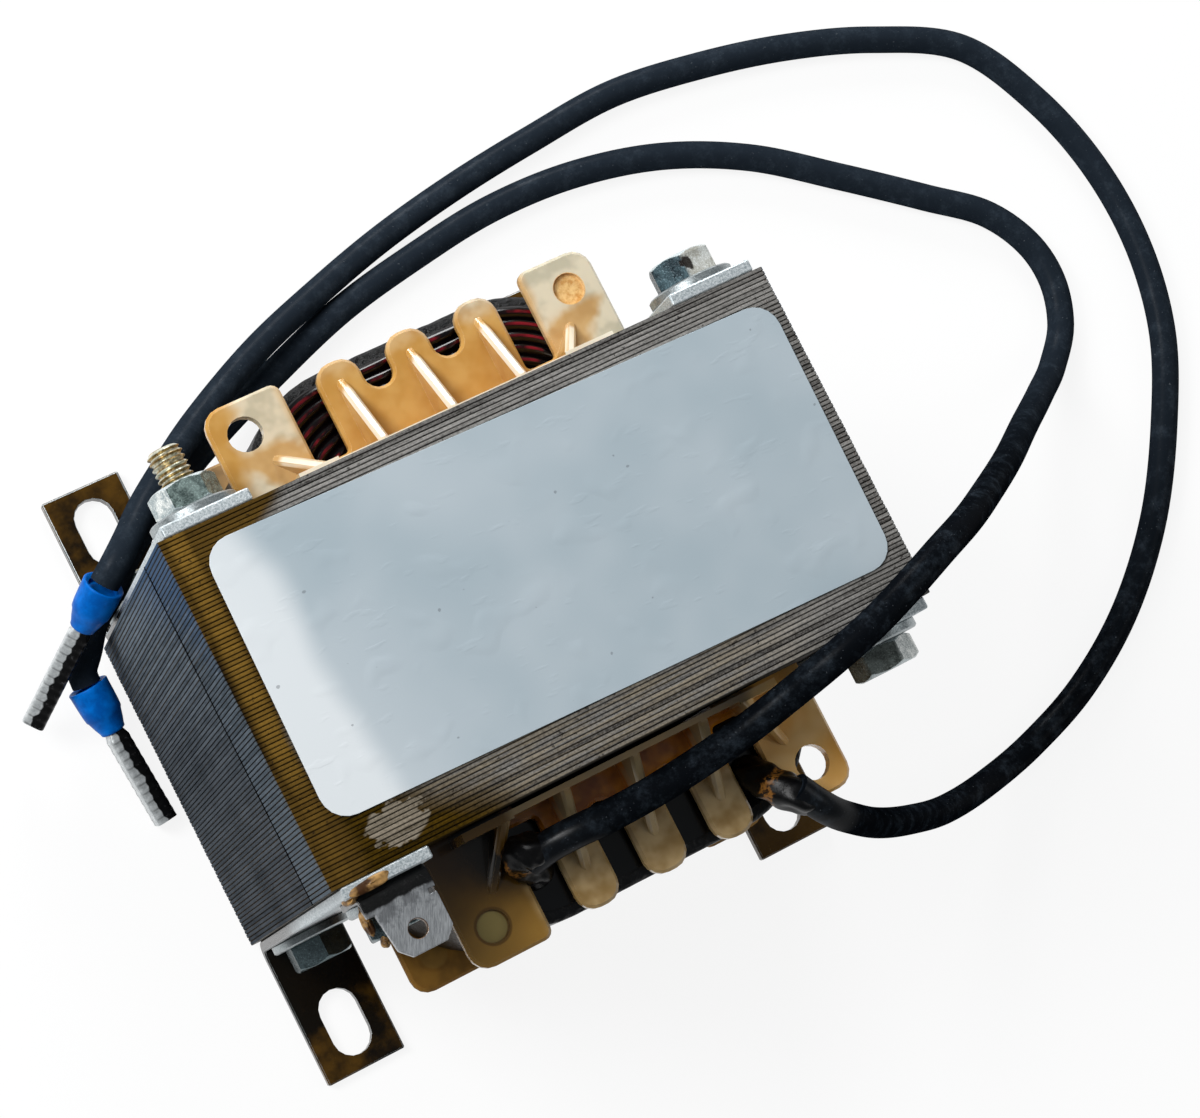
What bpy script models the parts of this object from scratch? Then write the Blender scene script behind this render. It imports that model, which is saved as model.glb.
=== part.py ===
"""DC link choke on an E and I sheet core: one named object for each piece.

World frame: +Z up, feet on z = 0, origin under the middle of the core. X runs along the
core's long side, Y along its stack of sheets. Front is -Y, where both leads and the earth
tab are, and left is -X. All sizes below are in millimetres.
"""

import math

import bmesh
import bpy
from mathutils import Matrix, Vector

MM = 0.001

# Core: E sheets below, a bar of I sheets above, and a sheet that sets the magnetic gap.
# The feet hold it CORE_LIFT above the surface, which leaves room for the lower washers.
CORE_LIFT = 1.5
CORE_WIDTH = 66.0
STACK_DEPTH = 36.0
CENTRE_LEG = 22.0
OUTER_LEG = 11.0
WINDOW_HEIGHT = 33.0
E_BACK_HEIGHT = 11.0
YOKE_HEIGHT = 11.0
GAP_SHEET_THICKNESS = 0.4
BOLT_HOLE_INSET = 5.5
BOLT_HOLE_DIAMETER = 4.5

# Label on the top of the yoke.
LABEL_END_MARGIN = 2.25
LABEL_SIDE_MARGIN = 3.75
LABEL_THICKNESS = 0.15
LABEL_GLUE = 0.02
LABEL_CORNER_RADIUS = 2.7
LABEL_CENTRE_X = 0.9
LABEL_CENTRE_Y = 1.1
LABEL_TURN_DEG = -1.1

# Foot brackets: bent strip, one at each corner of the core.
STRIP_WIDTH = 9.2
STRIP_THICKNESS = 1.25
BEND_INNER_RADIUS = 1.0
FOOT_REACH = 17.2
SLOT_WIDTH = 4.4
SLOT_LENGTH = 7.6
SLOT_END_MARGIN = 1.6
STRIP_EDGE_BEVEL = 0.15

# Fasteners: M4 through bolts along Y.
BOLT_DIAMETER = 4.0
THREAD_PITCH = 0.7
THREAD_DEPTH = 0.3
HEX_ACROSS_FLATS = 7.0
HEAD_HEIGHT = 2.8
NUT_HEIGHT = 3.2
HEX_CHAMFER = 0.45
HEX_RIM_SHARE = 0.96
NUT_BORE_CLEARANCE = 0.15
WASHER_OUTER_DIAMETER = 9.0
WASHER_BORE_DIAMETER = 4.4
WASHER_THICKNESS = 1.0
TAB_WASHER_OUTER_DIAMETER = 8.0
LONG_END_PAST_NUT = 2.7
SHORT_END_PAST_NUT = 0.4

# Earth tab: a flat blade on a leg under the head of the upper left bolt.
TAB_THICKNESS = 0.8
TAB_ROOT_WIDTH = 7.2
TAB_BLADE_WIDTH = 6.3
TAB_BLADE_SHIFT = 0.35
TAB_SHOULDER_LENGTH = 1.6
TAB_NOTCH_WIDTH = 0.45
TAB_NOTCH_DEPTH = 0.7
TAB_CUT_MARGIN = 1.0
TAB_BLADE_LENGTH = 6.6
TAB_TIP_CHAMFER = 1.1
TAB_HOLE_DIAMETER = 1.85
TAB_HOLE_FROM_TIP = 2.2
TAB_HEAD_CLEARANCE = 0.35
TAB_BEND_INNER_RADIUS = 0.3
TAB_LEG_BELOW_BOLT = 3.9

# Bobbin: a square tube with a flange at each end of the window.
BOBBIN_CLEARANCE = 0.3
TUBE_WALL = 1.2
TUBE_DEPTH_CLEARANCE = 0.45
FLANGE_THICKNESS = 1.3
FLANGE_SIDE_CLEARANCE = 0.4
FLANGE_EDGE_BEVEL = 0.3
LEFT_LUG_WIDTH = 8.5
RIGHT_LUG_WIDTH = 7.8
LUG_CORNER_RADIUS = 2.0
LUG_HOLE_DIAMETER = 3.6
LUG_HOLE_FROM_SIDE = 3.4
LUG_HOLE_FROM_TIP = 3.5
DIMPLE_DIAMETER = 3.3
DIMPLE_DEPTH = 0.5
FINGER_WIDTH = 4.6
FINGER_PITCH = 7.7
FINGER_ROW_SHIFT = 0.45
FINGER_TIP_RADIUS = 1.9
FINGER_SHORTER = 0.4
FRONT_LUG_REACH = 12.6
BACK_LUG_REACH = 10.8
FRONT_NOTCH_ROOT = 2.9
BACK_NOTCH_ROOT = 6.1
LEAD_GAP_WIDTH = 3.3
LEAD_GAP_ROOT = 1.5
LEAD_GAP_FILLET = 0.6
COLLAR_WALL_THICKNESS = 0.6
COLLAR_END_THICKNESS = 0.85
FRONT_COLLAR_HEIGHT = 6.3
BACK_COLLAR_HEIGHT = 5.2
COLLAR_LONG_END_INSET = 3.2
COLLAR_SHORT_END_INSET = 5.1
COLLAR_STEP_LONG_INSET = 8.6
COLLAR_STEP_SHORT_INSET = 9.4
COLLAR_LAP = 0.1
RIB_WIDTH = 1.1
RIB_REACH = 8.4
RIB_TOP_DROP = 0.3
RIB_TIP_HEIGHT = 0.05
RIB_CREST_LENGTH = 0.5
LUG_RIB_WIDTH = 1.1
FRONT_LUG_RIB_REACH = 6.3
BACK_LUG_RIB_REACH = 4.0
LUG_RIB_WALL_INSET = 8.2
LUG_RIB_TIP_INSET = 4.8
LUG_RIB_HEIGHT = 4.7
RIB_EDGE_BEVEL = 0.3

# Winding and the black wrap round it.
WINDING_END_CLEARANCE = 0.35
WINDING_TUBE_CLEARANCE = 0.3
WINDING_SIDE_INSET = 1.3
WINDING_BUILD_FRONT = 9.3
WINDING_BUILD_BACK = 7.9
WINDING_CORNER_RADIUS = 8.0
WINDING_CREST = 0.35
WINDING_TURNS = 12
WRAP_GAP = 0.3
WRAP_THICKNESS = 0.7
WRAP_SHORTER = 1.2

# Leads with their sleeves and end ferrules.
LEAD_DIAMETER = 3.2
LEAD_FINE_STEP = 1.0
LEAD_STEPS = 9
LEAD_CLOSE_STEPS = 4
LEAD_TAIL_STEPS = 2
LEAD_BENT_START = 14
LEAD_BENT_END = 36
LEAD_END_GAP = 0.75
SLEEVE_ROOT_DIAMETER = 2.7
SLEEVE_MOUTH_DIAMETER = 4.2
COLLAR_LENGTH = 6.3
COLLAR_MOUTH_DIAMETER = 4.5
COLLAR_NECK_DIAMETER = 3.3
COLLAR_TAPER_START = 3.4
INNER_PIN_LENGTH = 10.8
OUTER_PIN_LENGTH = 12.4
PIN_WIDTH = 2.6
PIN_HEIGHT = 2.2
PIN_RIPPLE = 0.15
PIN_RIPPLE_COUNT = 8
PIN_CORNER_CUT = 0.5

# Routes of the leads' centrelines, from the sleeve's mouth to the ferrule.
INNER_ROUTE = (
    (-12.7, -23.6, 48.1), (-11.0, -23.2, 49.6), (-8.6, -23.1, 50.8), (-5.2, -23.2, 51.3),
    (-0.6, -23.1, 51.5), (5.2, -22.6, 51.8), (11.0, -21.8, 52.9), (15.6, -20.8, 55.1),
    (20.0, -19.7, 58.1), (25.2, -18.3, 59.4), (30.3, -16.6, 59.4), (35.4, -14.9, 57.7),
    (41.5, -13.2, 53.1), (49.1, -11.0, 44.3), (57.9, -8.4, 32.9), (67.1, -5.3, 20.5),
    (76.2, -2.1, 9.1), (82.2, 0.7, 3.2), (86.3, 4.7, 1.65), (88.0, 9.7, 1.6),
    (87.6, 14.8, 1.6), (84.6, 20.3, 1.6), (78.4, 25.3, 1.6), (69.7, 31.9, 1.6),
    (60.7, 38.3, 1.6), (50.8, 42.7, 1.6), (40.0, 44.9, 1.6), (29.2, 45.1, 1.6),
    (18.5, 43.6, 1.6), (8.0, 41.4, 1.7), (-2.9, 37.6, 2.5), (-13.8, 33.0, 5.2),
    (-19.5, 30.0, 7.9), (-24.0, 27.4, 10.5), (-27.8, 24.9, 12.2), (-31.3, 21.9, 11.4),
    (-33.8, 20.1, 8.9), (-35.5, 17.8, 7.0), (-36.9, 16.0, 6.2), (-37.0, 14.7, 5.8),
)
OUTER_ROUTE = (
    (14.1, -29.0, 49.1), (15.6, -31.1, 48.1), (17.3, -32.8, 46.5), (19.9, -34.3, 43.1),
    (25.0, -36.2, 35.0), (32.2, -37.9, 24.6), (40.4, -39.1, 14.2), (49.1, -39.0, 6.3),
    (57.7, -37.7, 2.3), (66.7, -34.7, 1.6), (76.1, -29.2, 1.6), (85.1, -21.0, 1.6),
    (92.5, -11.0, 1.6), (97.8, -1.3, 1.6), (100.3, 9.2, 1.6), (100.1, 20.1, 1.6),
    (97.3, 30.5, 1.6), (91.8, 40.0, 1.6), (81.8, 45.3, 1.6), (71.1, 48.7, 1.6),
    (60.0, 50.8, 1.6), (48.9, 51.8, 1.6), (37.6, 50.7, 1.6), (26.8, 49.2, 1.6),
    (16.0, 47.0, 1.8), (5.7, 43.9, 3.2), (-3.8, 40.4, 5.6), (-14.2, 35.2, 8.8),
    (-20.6, 31.1, 12.6), (-25.0, 28.0, 15.4), (-28.1, 25.4, 17.0), (-30.4, 23.6, 17.2),
    (-32.2, 22.3, 16.3),
)
# The sleeves' points are from the inner edge of the lug beside each one, the front of the
# tube's hole and the top of the upper flange.
INNER_SLEEVE_ROUTE = ((1.75, -6.55, -1.3), (1.75, -6.55, -0.2), (1.5, -6.45, 1.1))
OUTER_SLEEVE_ROUTE = (
    (-1.65, -5.95, -1.3), (-1.6, -6.25, 0.3), (-1.4, -6.85, 2.1), (-1.0, -8.15, 3.4),
    (-0.4, -9.45, 3.9),
)
INNER_PIN_END = (-35.2, -1.7, 1.4)
OUTER_PIN_END = (-43.8, 13.4, 4.0)
LEAD_SAMPLES = 24

# Sides of the round pieces.
BORE_SIDES = 20
THREAD_SIDES = 16
ARC_STEPS = 5


# Levels and places that follow from the sizes above.

E_BACK_TOP = CORE_LIFT + E_BACK_HEIGHT
E_TOP = E_BACK_TOP + WINDOW_HEIGHT
YOKE_BOTTOM = E_TOP + GAP_SHEET_THICKNESS
CORE_TOP = YOKE_BOTTOM + YOKE_HEIGHT
HALF_STACK = STACK_DEPTH / 2
HALF_WIDTH = CORE_WIDTH / 2
WINDOW_OUTER_X = HALF_WIDTH - OUTER_LEG
BOLT_X = HALF_WIDTH - BOLT_HOLE_INSET
BOLT_LOW_Z = CORE_LIFT + BOLT_HOLE_INSET
BOLT_HIGH_Z = CORE_TOP - BOLT_HOLE_INSET
STRIP_OUTER_Y = HALF_STACK + STRIP_THICKNESS
FOOT_END_Y = HALF_STACK + FOOT_REACH
FLANGE_TOP = E_TOP - BOBBIN_CLEARANCE
FLANGE_LOW = E_BACK_TOP + BOBBIN_CLEARANCE
FLANGE_X = WINDOW_OUTER_X - FLANGE_SIDE_CLEARANCE
LUG_INNER_LEFT = FLANGE_X - LEFT_LUG_WIDTH
LUG_INNER_RIGHT = FLANGE_X - RIGHT_LUG_WIDTH
# As many fingers as fit between the two gaps for the leads.
FINGER_ROOM = LUG_INNER_LEFT + LUG_INNER_RIGHT - 2 * LEAD_GAP_WIDTH
FINGER_COUNT = int((FINGER_ROOM + FINGER_PITCH - FINGER_WIDTH) / FINGER_PITCH)
TUBE_HOLE_X = CENTRE_LEG / 2 + BOBBIN_CLEARANCE
TUBE_HOLE_Y = HALF_STACK + TUBE_DEPTH_CLEARANCE
TUBE_X = TUBE_HOLE_X + TUBE_WALL
TUBE_Y = TUBE_HOLE_Y + TUBE_WALL
WINDING_LOW = FLANGE_LOW + FLANGE_THICKNESS + WINDING_END_CLEARANCE
WINDING_TOP = FLANGE_TOP - FLANGE_THICKNESS - WINDING_END_CLEARANCE


# Materials

def material(name, colour, roughness, metallic=0.0):
    """A plain Principled material."""
    made = bpy.data.materials.new(name)
    made.use_nodes = True
    shader = made.node_tree.nodes["Principled BSDF"]
    shader.inputs["Base Color"].default_value = (*colour, 1.0)
    shader.inputs["Roughness"].default_value = roughness
    shader.inputs["Metallic"].default_value = metallic
    return made


# Geometry helpers

def clear_scene():
    for old in list(bpy.data.objects):
        bpy.data.objects.remove(old, do_unlink=True)


def arc(centre, radius, start_deg, end_deg, steps=ARC_STEPS):
    """Points of an arc, ends included."""
    angles = [math.radians(start_deg + (end_deg - start_deg) * i / steps) for i in range(steps + 1)]
    return [(centre[0] + radius * math.cos(a), centre[1] + radius * math.sin(a)) for a in angles]


def rounded(corners, steps=ARC_STEPS):
    """An outline from (x, y, radius) corners, each corner with a radius turned into an arc."""
    outline = []
    count = len(corners)
    for i, (x, y, radius) in enumerate(corners):
        here = Vector((x, y))
        if radius <= 0:
            outline.append((x, y))
            continue
        before = (Vector(corners[i - 1][:2]) - here).normalized()
        after = (Vector(corners[(i + 1) % count][:2]) - here).normalized()
        half = before.angle(after) / 2
        centre = here + (before + after).normalized() * radius / math.sin(half)
        first = here + before * radius / math.tan(half) - centre
        last = here + after * radius / math.tan(half) - centre
        turn = math.atan2(first.x * last.y - first.y * last.x, first.dot(last))
        start = math.atan2(first.y, first.x)
        for step in range(steps + 1):
            angle = start + turn * step / steps
            outline.append((centre.x + radius * math.cos(angle), centre.y + radius * math.sin(angle)))
    return outline


def circle(centre, diameter, sides=BORE_SIDES):
    return [
        (
            centre[0] + diameter / 2 * math.cos(2 * math.pi * i / sides),
            centre[1] + diameter / 2 * math.sin(2 * math.pi * i / sides),
        )
        for i in range(sides)
    ]


def add_object(name, bm, made_material=None, smooth_deg=None):
    """Turns millimetre geometry into an object in metres, with its faces pointing out."""
    bmesh.ops.recalc_face_normals(bm, faces=bm.faces)
    bmesh.ops.scale(bm, vec=(MM, MM, MM), verts=bm.verts)
    mesh = bpy.data.meshes.new(name)
    bm.to_mesh(mesh)
    bm.free()
    if smooth_deg is not None:
        mesh.shade_smooth()
        mesh.set_sharp_from_angle(angle=math.radians(smooth_deg))
    if made_material:
        mesh.materials.append(made_material)
    obj = bpy.data.objects.new(name, mesh)
    bpy.context.scene.collection.objects.link(obj)
    return obj


PLANES = {
    "XY": lambda a, b, c: (a, b, c),
    "XZ": lambda a, b, c: (a, c, b),
    "YZ": lambda a, b, c: (c, a, b),
}


def prism(outline, low, high, plane="XY"):
    """A bmesh: the outline lies in the named plane and is extruded across it."""
    place = PLANES[plane]
    bm = bmesh.new()
    face = bm.faces.new([bm.verts.new(place(a, b, low)) for a, b in outline])
    made = bmesh.ops.extrude_face_region(bm, geom=[face])
    lift = Vector(place(0, 0, high - low))
    moved = [item for item in made["geom"] if isinstance(item, bmesh.types.BMVert)]
    bmesh.ops.translate(bm, vec=lift, verts=moved)
    return bm


def box_outline(x, y):
    return [(-x, -y), (x, -y), (x, y), (-x, y)]


def turned(profile, sides):
    """A bmesh turned about the Y axis from (radius, y) points, closed at both ends or into a ring."""
    bm = bmesh.new()
    rings = []
    for radius, y in profile:
        if radius == 0:
            rings.append([bm.verts.new((0, y, 0))])
            continue
        angles = [2 * math.pi * i / sides for i in range(sides)]
        rings.append([bm.verts.new((radius * math.cos(a), y, radius * math.sin(a))) for a in angles])
    closed_ring = all(len(ring) == sides for ring in rings)
    pairs = list(zip(rings, rings[1:]))
    if closed_ring:
        pairs.append((rings[-1], rings[0]))
    for lower, upper in pairs:
        for i in range(sides):
            j = (i + 1) % sides
            if len(lower) == 1:
                bm.faces.new((lower[0], upper[i], upper[j]))
            elif len(upper) == 1:
                bm.faces.new((lower[i], lower[j], upper[0]))
            else:
                bm.faces.new((lower[i], lower[j], upper[j], upper[i]))
    return bm


def helper(name, bm):
    """A cutter or a shape to be joined: it shows as wire and isn't rendered."""
    obj = add_object(name, bm)
    obj.hide_render = True
    obj.display_type = "WIRE"
    return obj


def combine(obj, other, operation):
    """Adds a Boolean with the helper object."""
    modifier = obj.modifiers.new(f"{operation.lower()} {other.name}", "BOOLEAN")
    modifier.object = other
    modifier.operation = operation
    modifier.solver = "EXACT"
    return modifier


def round_edges(obj, width, segments=2, angle_deg=40):
    modifier = obj.modifiers.new("rounded edges", "BEVEL")
    modifier.width = width * MM
    modifier.segments = segments
    modifier.limit_method = "ANGLE"
    modifier.angle_limit = math.radians(angle_deg)
    return modifier


def smooth_path(points, spacing):
    """Points about one spacing apart on the smooth curve through the route's points."""
    knots = [Vector(point) for point in points]
    knots = [knots[0] * 2 - knots[1], *knots, knots[-1] * 2 - knots[-2]]
    dense = []
    for p0, p1, p2, p3 in zip(knots, knots[1:], knots[2:], knots[3:]):
        d1 = max((p1 - p0).length ** 0.5, 1e-6)
        d2 = max((p2 - p1).length ** 0.5, 1e-6)
        d3 = max((p3 - p2).length ** 0.5, 1e-6)
        b1 = (p2 * d1**2 - p0 * d2**2 + p1 * (2 * d1**2 + 3 * d1 * d2 + d2**2)) / (3 * d1 * (d1 + d2))
        b2 = (p1 * d3**2 - p3 * d2**2 + p2 * (2 * d3**2 + 3 * d3 * d2 + d2**2)) / (3 * d3 * (d3 + d2))
        for step in range(LEAD_SAMPLES):
            t = step / LEAD_SAMPLES
            s = 1 - t
            dense.append(p1 * s**3 + b1 * 3 * s * s * t + b2 * 3 * s * t * t + p2 * t**3)
    dense.append(knots[-2])
    lengths = [0.0]
    for a, b in zip(dense, dense[1:]):
        lengths.append(lengths[-1] + (b - a).length)
    count = max(2, round(lengths[-1] / spacing))
    path = []
    at = 0
    for i in range(count + 1):
        target = lengths[-1] * i / count
        while at < len(lengths) - 2 and lengths[at + 1] < target:
            at += 1
        share = (target - lengths[at]) / max(lengths[at + 1] - lengths[at], 1e-9)
        path.append(dense[at].lerp(dense[at + 1], min(share, 1.0)))
    return path


def tube(name, path, diameters, made_material, resolution=2):
    """A round cord along the path as a bevelled curve with filled caps."""
    curve = bpy.data.curves.new(name, "CURVE")
    curve.dimensions = "3D"
    curve.bevel_depth = diameters[0] / 2 * MM
    curve.bevel_resolution = resolution
    curve.use_fill_caps = True
    spline = curve.splines.new("POLY")
    spline.points.add(len(path) - 1)
    for point, place, diameter in zip(spline.points, path, diameters):
        point.co = (*(place * MM), 1.0)
        point.radius = diameter / diameters[0]
    curve.materials.append(made_material)
    obj = bpy.data.objects.new(name, curve)
    bpy.context.scene.collection.objects.link(obj)
    return obj


# Core

def core_holes(name, z):
    """Cutters for the two bolt holes at one height."""
    cutters = []
    for side, x in (("left", -BOLT_X), ("right", BOLT_X)):
        outline = circle((x, z), BOLT_HOLE_DIAMETER)
        cutters.append(helper(f"{name}_{side}", prism(outline, -HALF_STACK - 1, HALF_STACK + 1, "XZ")))
    return cutters


def make_core(sheet_steel, gap_board):
    half_leg = CENTRE_LEG / 2
    e_outline = [
        (-HALF_WIDTH, CORE_LIFT), (HALF_WIDTH, CORE_LIFT), (HALF_WIDTH, E_TOP), (WINDOW_OUTER_X, E_TOP),
        (WINDOW_OUTER_X, E_BACK_TOP), (half_leg, E_BACK_TOP), (half_leg, E_TOP),
        (-half_leg, E_TOP), (-half_leg, E_BACK_TOP), (-WINDOW_OUTER_X, E_BACK_TOP),
        (-WINDOW_OUTER_X, E_TOP), (-HALF_WIDTH, E_TOP),
    ]
    e_core = add_object("e_core", prism(e_outline, -HALF_STACK, HALF_STACK, "XZ"), sheet_steel)
    for cutter in core_holes("e_core_hole", BOLT_LOW_Z):
        combine(e_core, cutter, "DIFFERENCE")
    yoke_outline = [
        (-HALF_WIDTH, YOKE_BOTTOM), (HALF_WIDTH, YOKE_BOTTOM),
        (HALF_WIDTH, CORE_TOP), (-HALF_WIDTH, CORE_TOP),
    ]
    yoke = add_object("i_yoke", prism(yoke_outline, -HALF_STACK, HALF_STACK, "XZ"), sheet_steel)
    for cutter in core_holes("i_yoke_hole", BOLT_HIGH_Z):
        combine(yoke, cutter, "DIFFERENCE")
    sheet = box_outline(HALF_WIDTH, HALF_STACK)
    add_object("gap_sheet", prism(sheet, E_TOP, YOKE_BOTTOM), gap_board)


def make_label(paper):
    half_x = HALF_WIDTH - LABEL_END_MARGIN
    half_y = HALF_STACK - LABEL_SIDE_MARGIN
    radius = LABEL_CORNER_RADIUS
    outline = rounded([(-half_x, -half_y, radius), (half_x, -half_y, radius),
                       (half_x, half_y, radius), (-half_x, half_y, radius)])
    label = add_object("label", prism(outline, 0, LABEL_THICKNESS), paper)
    label.location = (LABEL_CENTRE_X * MM, LABEL_CENTRE_Y * MM, (CORE_TOP + LABEL_GLUE) * MM)
    label.rotation_euler = (0, 0, math.radians(LABEL_TURN_DEG))


# Brackets

def make_brackets(strip_steel):
    """Four bent strips: a leg up the core's face, a bend, and a slotted foot outwards."""
    outer_radius = BEND_INNER_RADIUS + STRIP_THICKNESS
    bend_y = STRIP_OUTER_Y + BEND_INNER_RADIUS
    side = [(HALF_STACK, CORE_TOP)]
    side += arc((bend_y, outer_radius), outer_radius, 180, 270)
    side += [(FOOT_END_Y, 0), (FOOT_END_Y, STRIP_THICKNESS)]
    side += arc((bend_y, outer_radius), BEND_INNER_RADIUS, 270, 180)
    side += [(STRIP_OUTER_Y, CORE_TOP)]
    half = STRIP_WIDTH / 2
    slot_far = FOOT_END_Y - SLOT_END_MARGIN - SLOT_WIDTH / 2
    slot_near = slot_far - SLOT_LENGTH + SLOT_WIDTH
    slot = arc((0, slot_far), SLOT_WIDTH / 2, 0, 180, 8) + arc((0, slot_near), SLOT_WIDTH / 2, 180, 360, 8)
    for x_name, x in (("left", -BOLT_X), ("right", BOLT_X)):
        for y_name, turn in (("front", math.pi), ("back", 0.0)):
            place = f"{y_name}_{x_name}"
            bracket = add_object(f"bracket_{place}", prism(side, -half, half, "YZ"), strip_steel)
            cutters = [helper(f"slot_{place}", prism(slot, -1, STRIP_THICKNESS + 1))]
            for z_name, z in (("low", BOLT_LOW_Z), ("high", BOLT_HIGH_Z)):
                hole = prism(circle((0, z), BOLT_HOLE_DIAMETER), HALF_STACK - 1, STRIP_OUTER_Y + 1, "XZ")
                cutters.append(helper(f"strip_hole_{z_name}_{place}", hole))
            for piece in (bracket, *cutters):
                piece.location.x = x * MM
                piece.rotation_euler.z = turn
            round_edges(bracket, STRIP_EDGE_BEVEL, 1, 60)
            for cutter in cutters:
                combine(bracket, cutter, "DIFFERENCE")


# Fasteners

def hex_object(name, height, both_rims, steel):
    """A hexagonal block along +Y from y = 0 whose rims are turned down, and its turning cutter."""
    flat = HEX_ACROSS_FLATS / 2
    corner = flat / math.cos(math.pi / 6)
    hexagon = [
        (corner * math.cos(math.pi / 6 + math.pi / 3 * i), corner * math.sin(math.pi / 6 + math.pi / 3 * i))
        for i in range(6)
    ]
    obj = add_object(name, prism(hexagon, -1, height + 1, "XZ"), steel)
    rim = flat * HEX_RIM_SHARE
    outer = corner + 0.2
    rise = HEX_CHAMFER * (outer - rim) / (corner - rim)
    profile = [(0, height), (rim, height), (outer, height - rise)]
    profile += [(outer, rise), (rim, 0), (0, 0)] if both_rims else [(outer, 0), (0, 0)]
    turning = helper(f"{name}_turning", turned(profile, BORE_SIDES))
    combine(obj, turning, "INTERSECT")
    return obj, turning


def thread_profile(start, end):
    """(radius, y) points of a shank whose last stretch carries thread ridges."""
    major = BOLT_DIAMETER / 2
    minor = major - THREAD_DEPTH
    ridges = max(1, int((end - start) / THREAD_PITCH))
    points = []
    for i in range(ridges):
        y = start + i * THREAD_PITCH
        points += [(minor, y), (major, y + THREAD_PITCH / 2)]
    points += [(minor, end)]
    return points


def make_bolt_set(name, x, z, head_side, past_nut, holds_tab, steels):
    """Bolt, nut and washers on one axis. head_side is -1 with the head at the front.

    Where the bolt holds the earth tab, the tab's leg lies under a smaller washer.
    """
    bolt_steel, nut_steel, washer_steel = steels
    head_y = STRIP_OUTER_Y + WASHER_THICKNESS + (TAB_THICKNESS if holds_tab else 0)
    nut_y = STRIP_OUTER_Y + WASHER_THICKNESS
    end_y = nut_y + NUT_HEIGHT + past_nut
    # Built with the head at -Y, then turned half a turn where the head is at the back.
    turn = 0.0 if head_side < 0 else math.pi
    place = Vector((x * MM, 0, z * MM))
    shank_radius = BOLT_DIAMETER / 2 - 0.05
    inside_head = -head_y - HEAD_HEIGHT / 2
    body = [(0, inside_head), (shank_radius, inside_head), (shank_radius, nut_y - THREAD_PITCH)]
    body += thread_profile(nut_y, end_y)
    body += [(0, end_y)]
    bolt, turning = hex_object(f"bolt_{name}", HEAD_HEIGHT, False, bolt_steel)
    for item in (bolt, turning):
        item.data.transform(rotation_to_front(head_y))
    shank = helper(f"shank_{name}", turned(body, THREAD_SIDES))
    combine(bolt, shank, "UNION")
    nut, nut_turning = hex_object(f"nut_{name}", NUT_HEIGHT, True, nut_steel)
    bore_radius = BOLT_DIAMETER + 2 * NUT_BORE_CLEARANCE
    bore = helper(f"nut_bore_{name}", prism(circle((0, 0), bore_radius), -1, NUT_HEIGHT + 1, "XZ"))
    combine(nut, bore, "DIFFERENCE")
    for item in (nut, nut_turning, bore):
        item.data.transform(shift_y(nut_y))
    pieces = [bolt, turning, shank, nut, nut_turning, bore]
    near = "front" if head_side < 0 else "back"
    far = "back" if head_side < 0 else "front"
    near_diameter = TAB_WASHER_OUTER_DIAMETER if holds_tab else WASHER_OUTER_DIAMETER
    for end, low, diameter in (
        (far, nut_y - WASHER_THICKNESS, WASHER_OUTER_DIAMETER), (near, -head_y, near_diameter)
    ):
        profile = [
            (WASHER_BORE_DIAMETER / 2, 0), (diameter / 2, 0),
            (diameter / 2, WASHER_THICKNESS), (WASHER_BORE_DIAMETER / 2, WASHER_THICKNESS),
        ]
        washer = add_object(f"washer_{name}_{end}", turned(profile, BORE_SIDES), washer_steel, 30)
        washer.data.transform(shift_y(low))
        pieces.append(washer)
    for piece in pieces:
        piece.location = place
        piece.rotation_euler.z = turn


def shift_y(distance):
    return Matrix.Translation((0, distance * MM, 0))


def rotation_to_front(distance):
    """Turns a block built towards +Y so that it stands towards -Y from y = -distance."""
    return Matrix.Translation((0, -distance * MM, 0)) @ Matrix.Rotation(math.pi, 4, "Z")


def make_fasteners(steels):
    sets = (
        ("upper_left", -BOLT_X, BOLT_HIGH_Z, -1, LONG_END_PAST_NUT, True),
        ("upper_right", BOLT_X, BOLT_HIGH_Z, 1, SHORT_END_PAST_NUT, False),
        ("lower_left", -BOLT_X, BOLT_LOW_Z, -1, SHORT_END_PAST_NUT, False),
        ("lower_right", BOLT_X, BOLT_LOW_Z, 1, SHORT_END_PAST_NUT, False),
    )
    for name, x, z, head_side, past_nut, holds_tab in sets:
        make_bolt_set(name, x, z, head_side, past_nut, holds_tab, steels)


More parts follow.
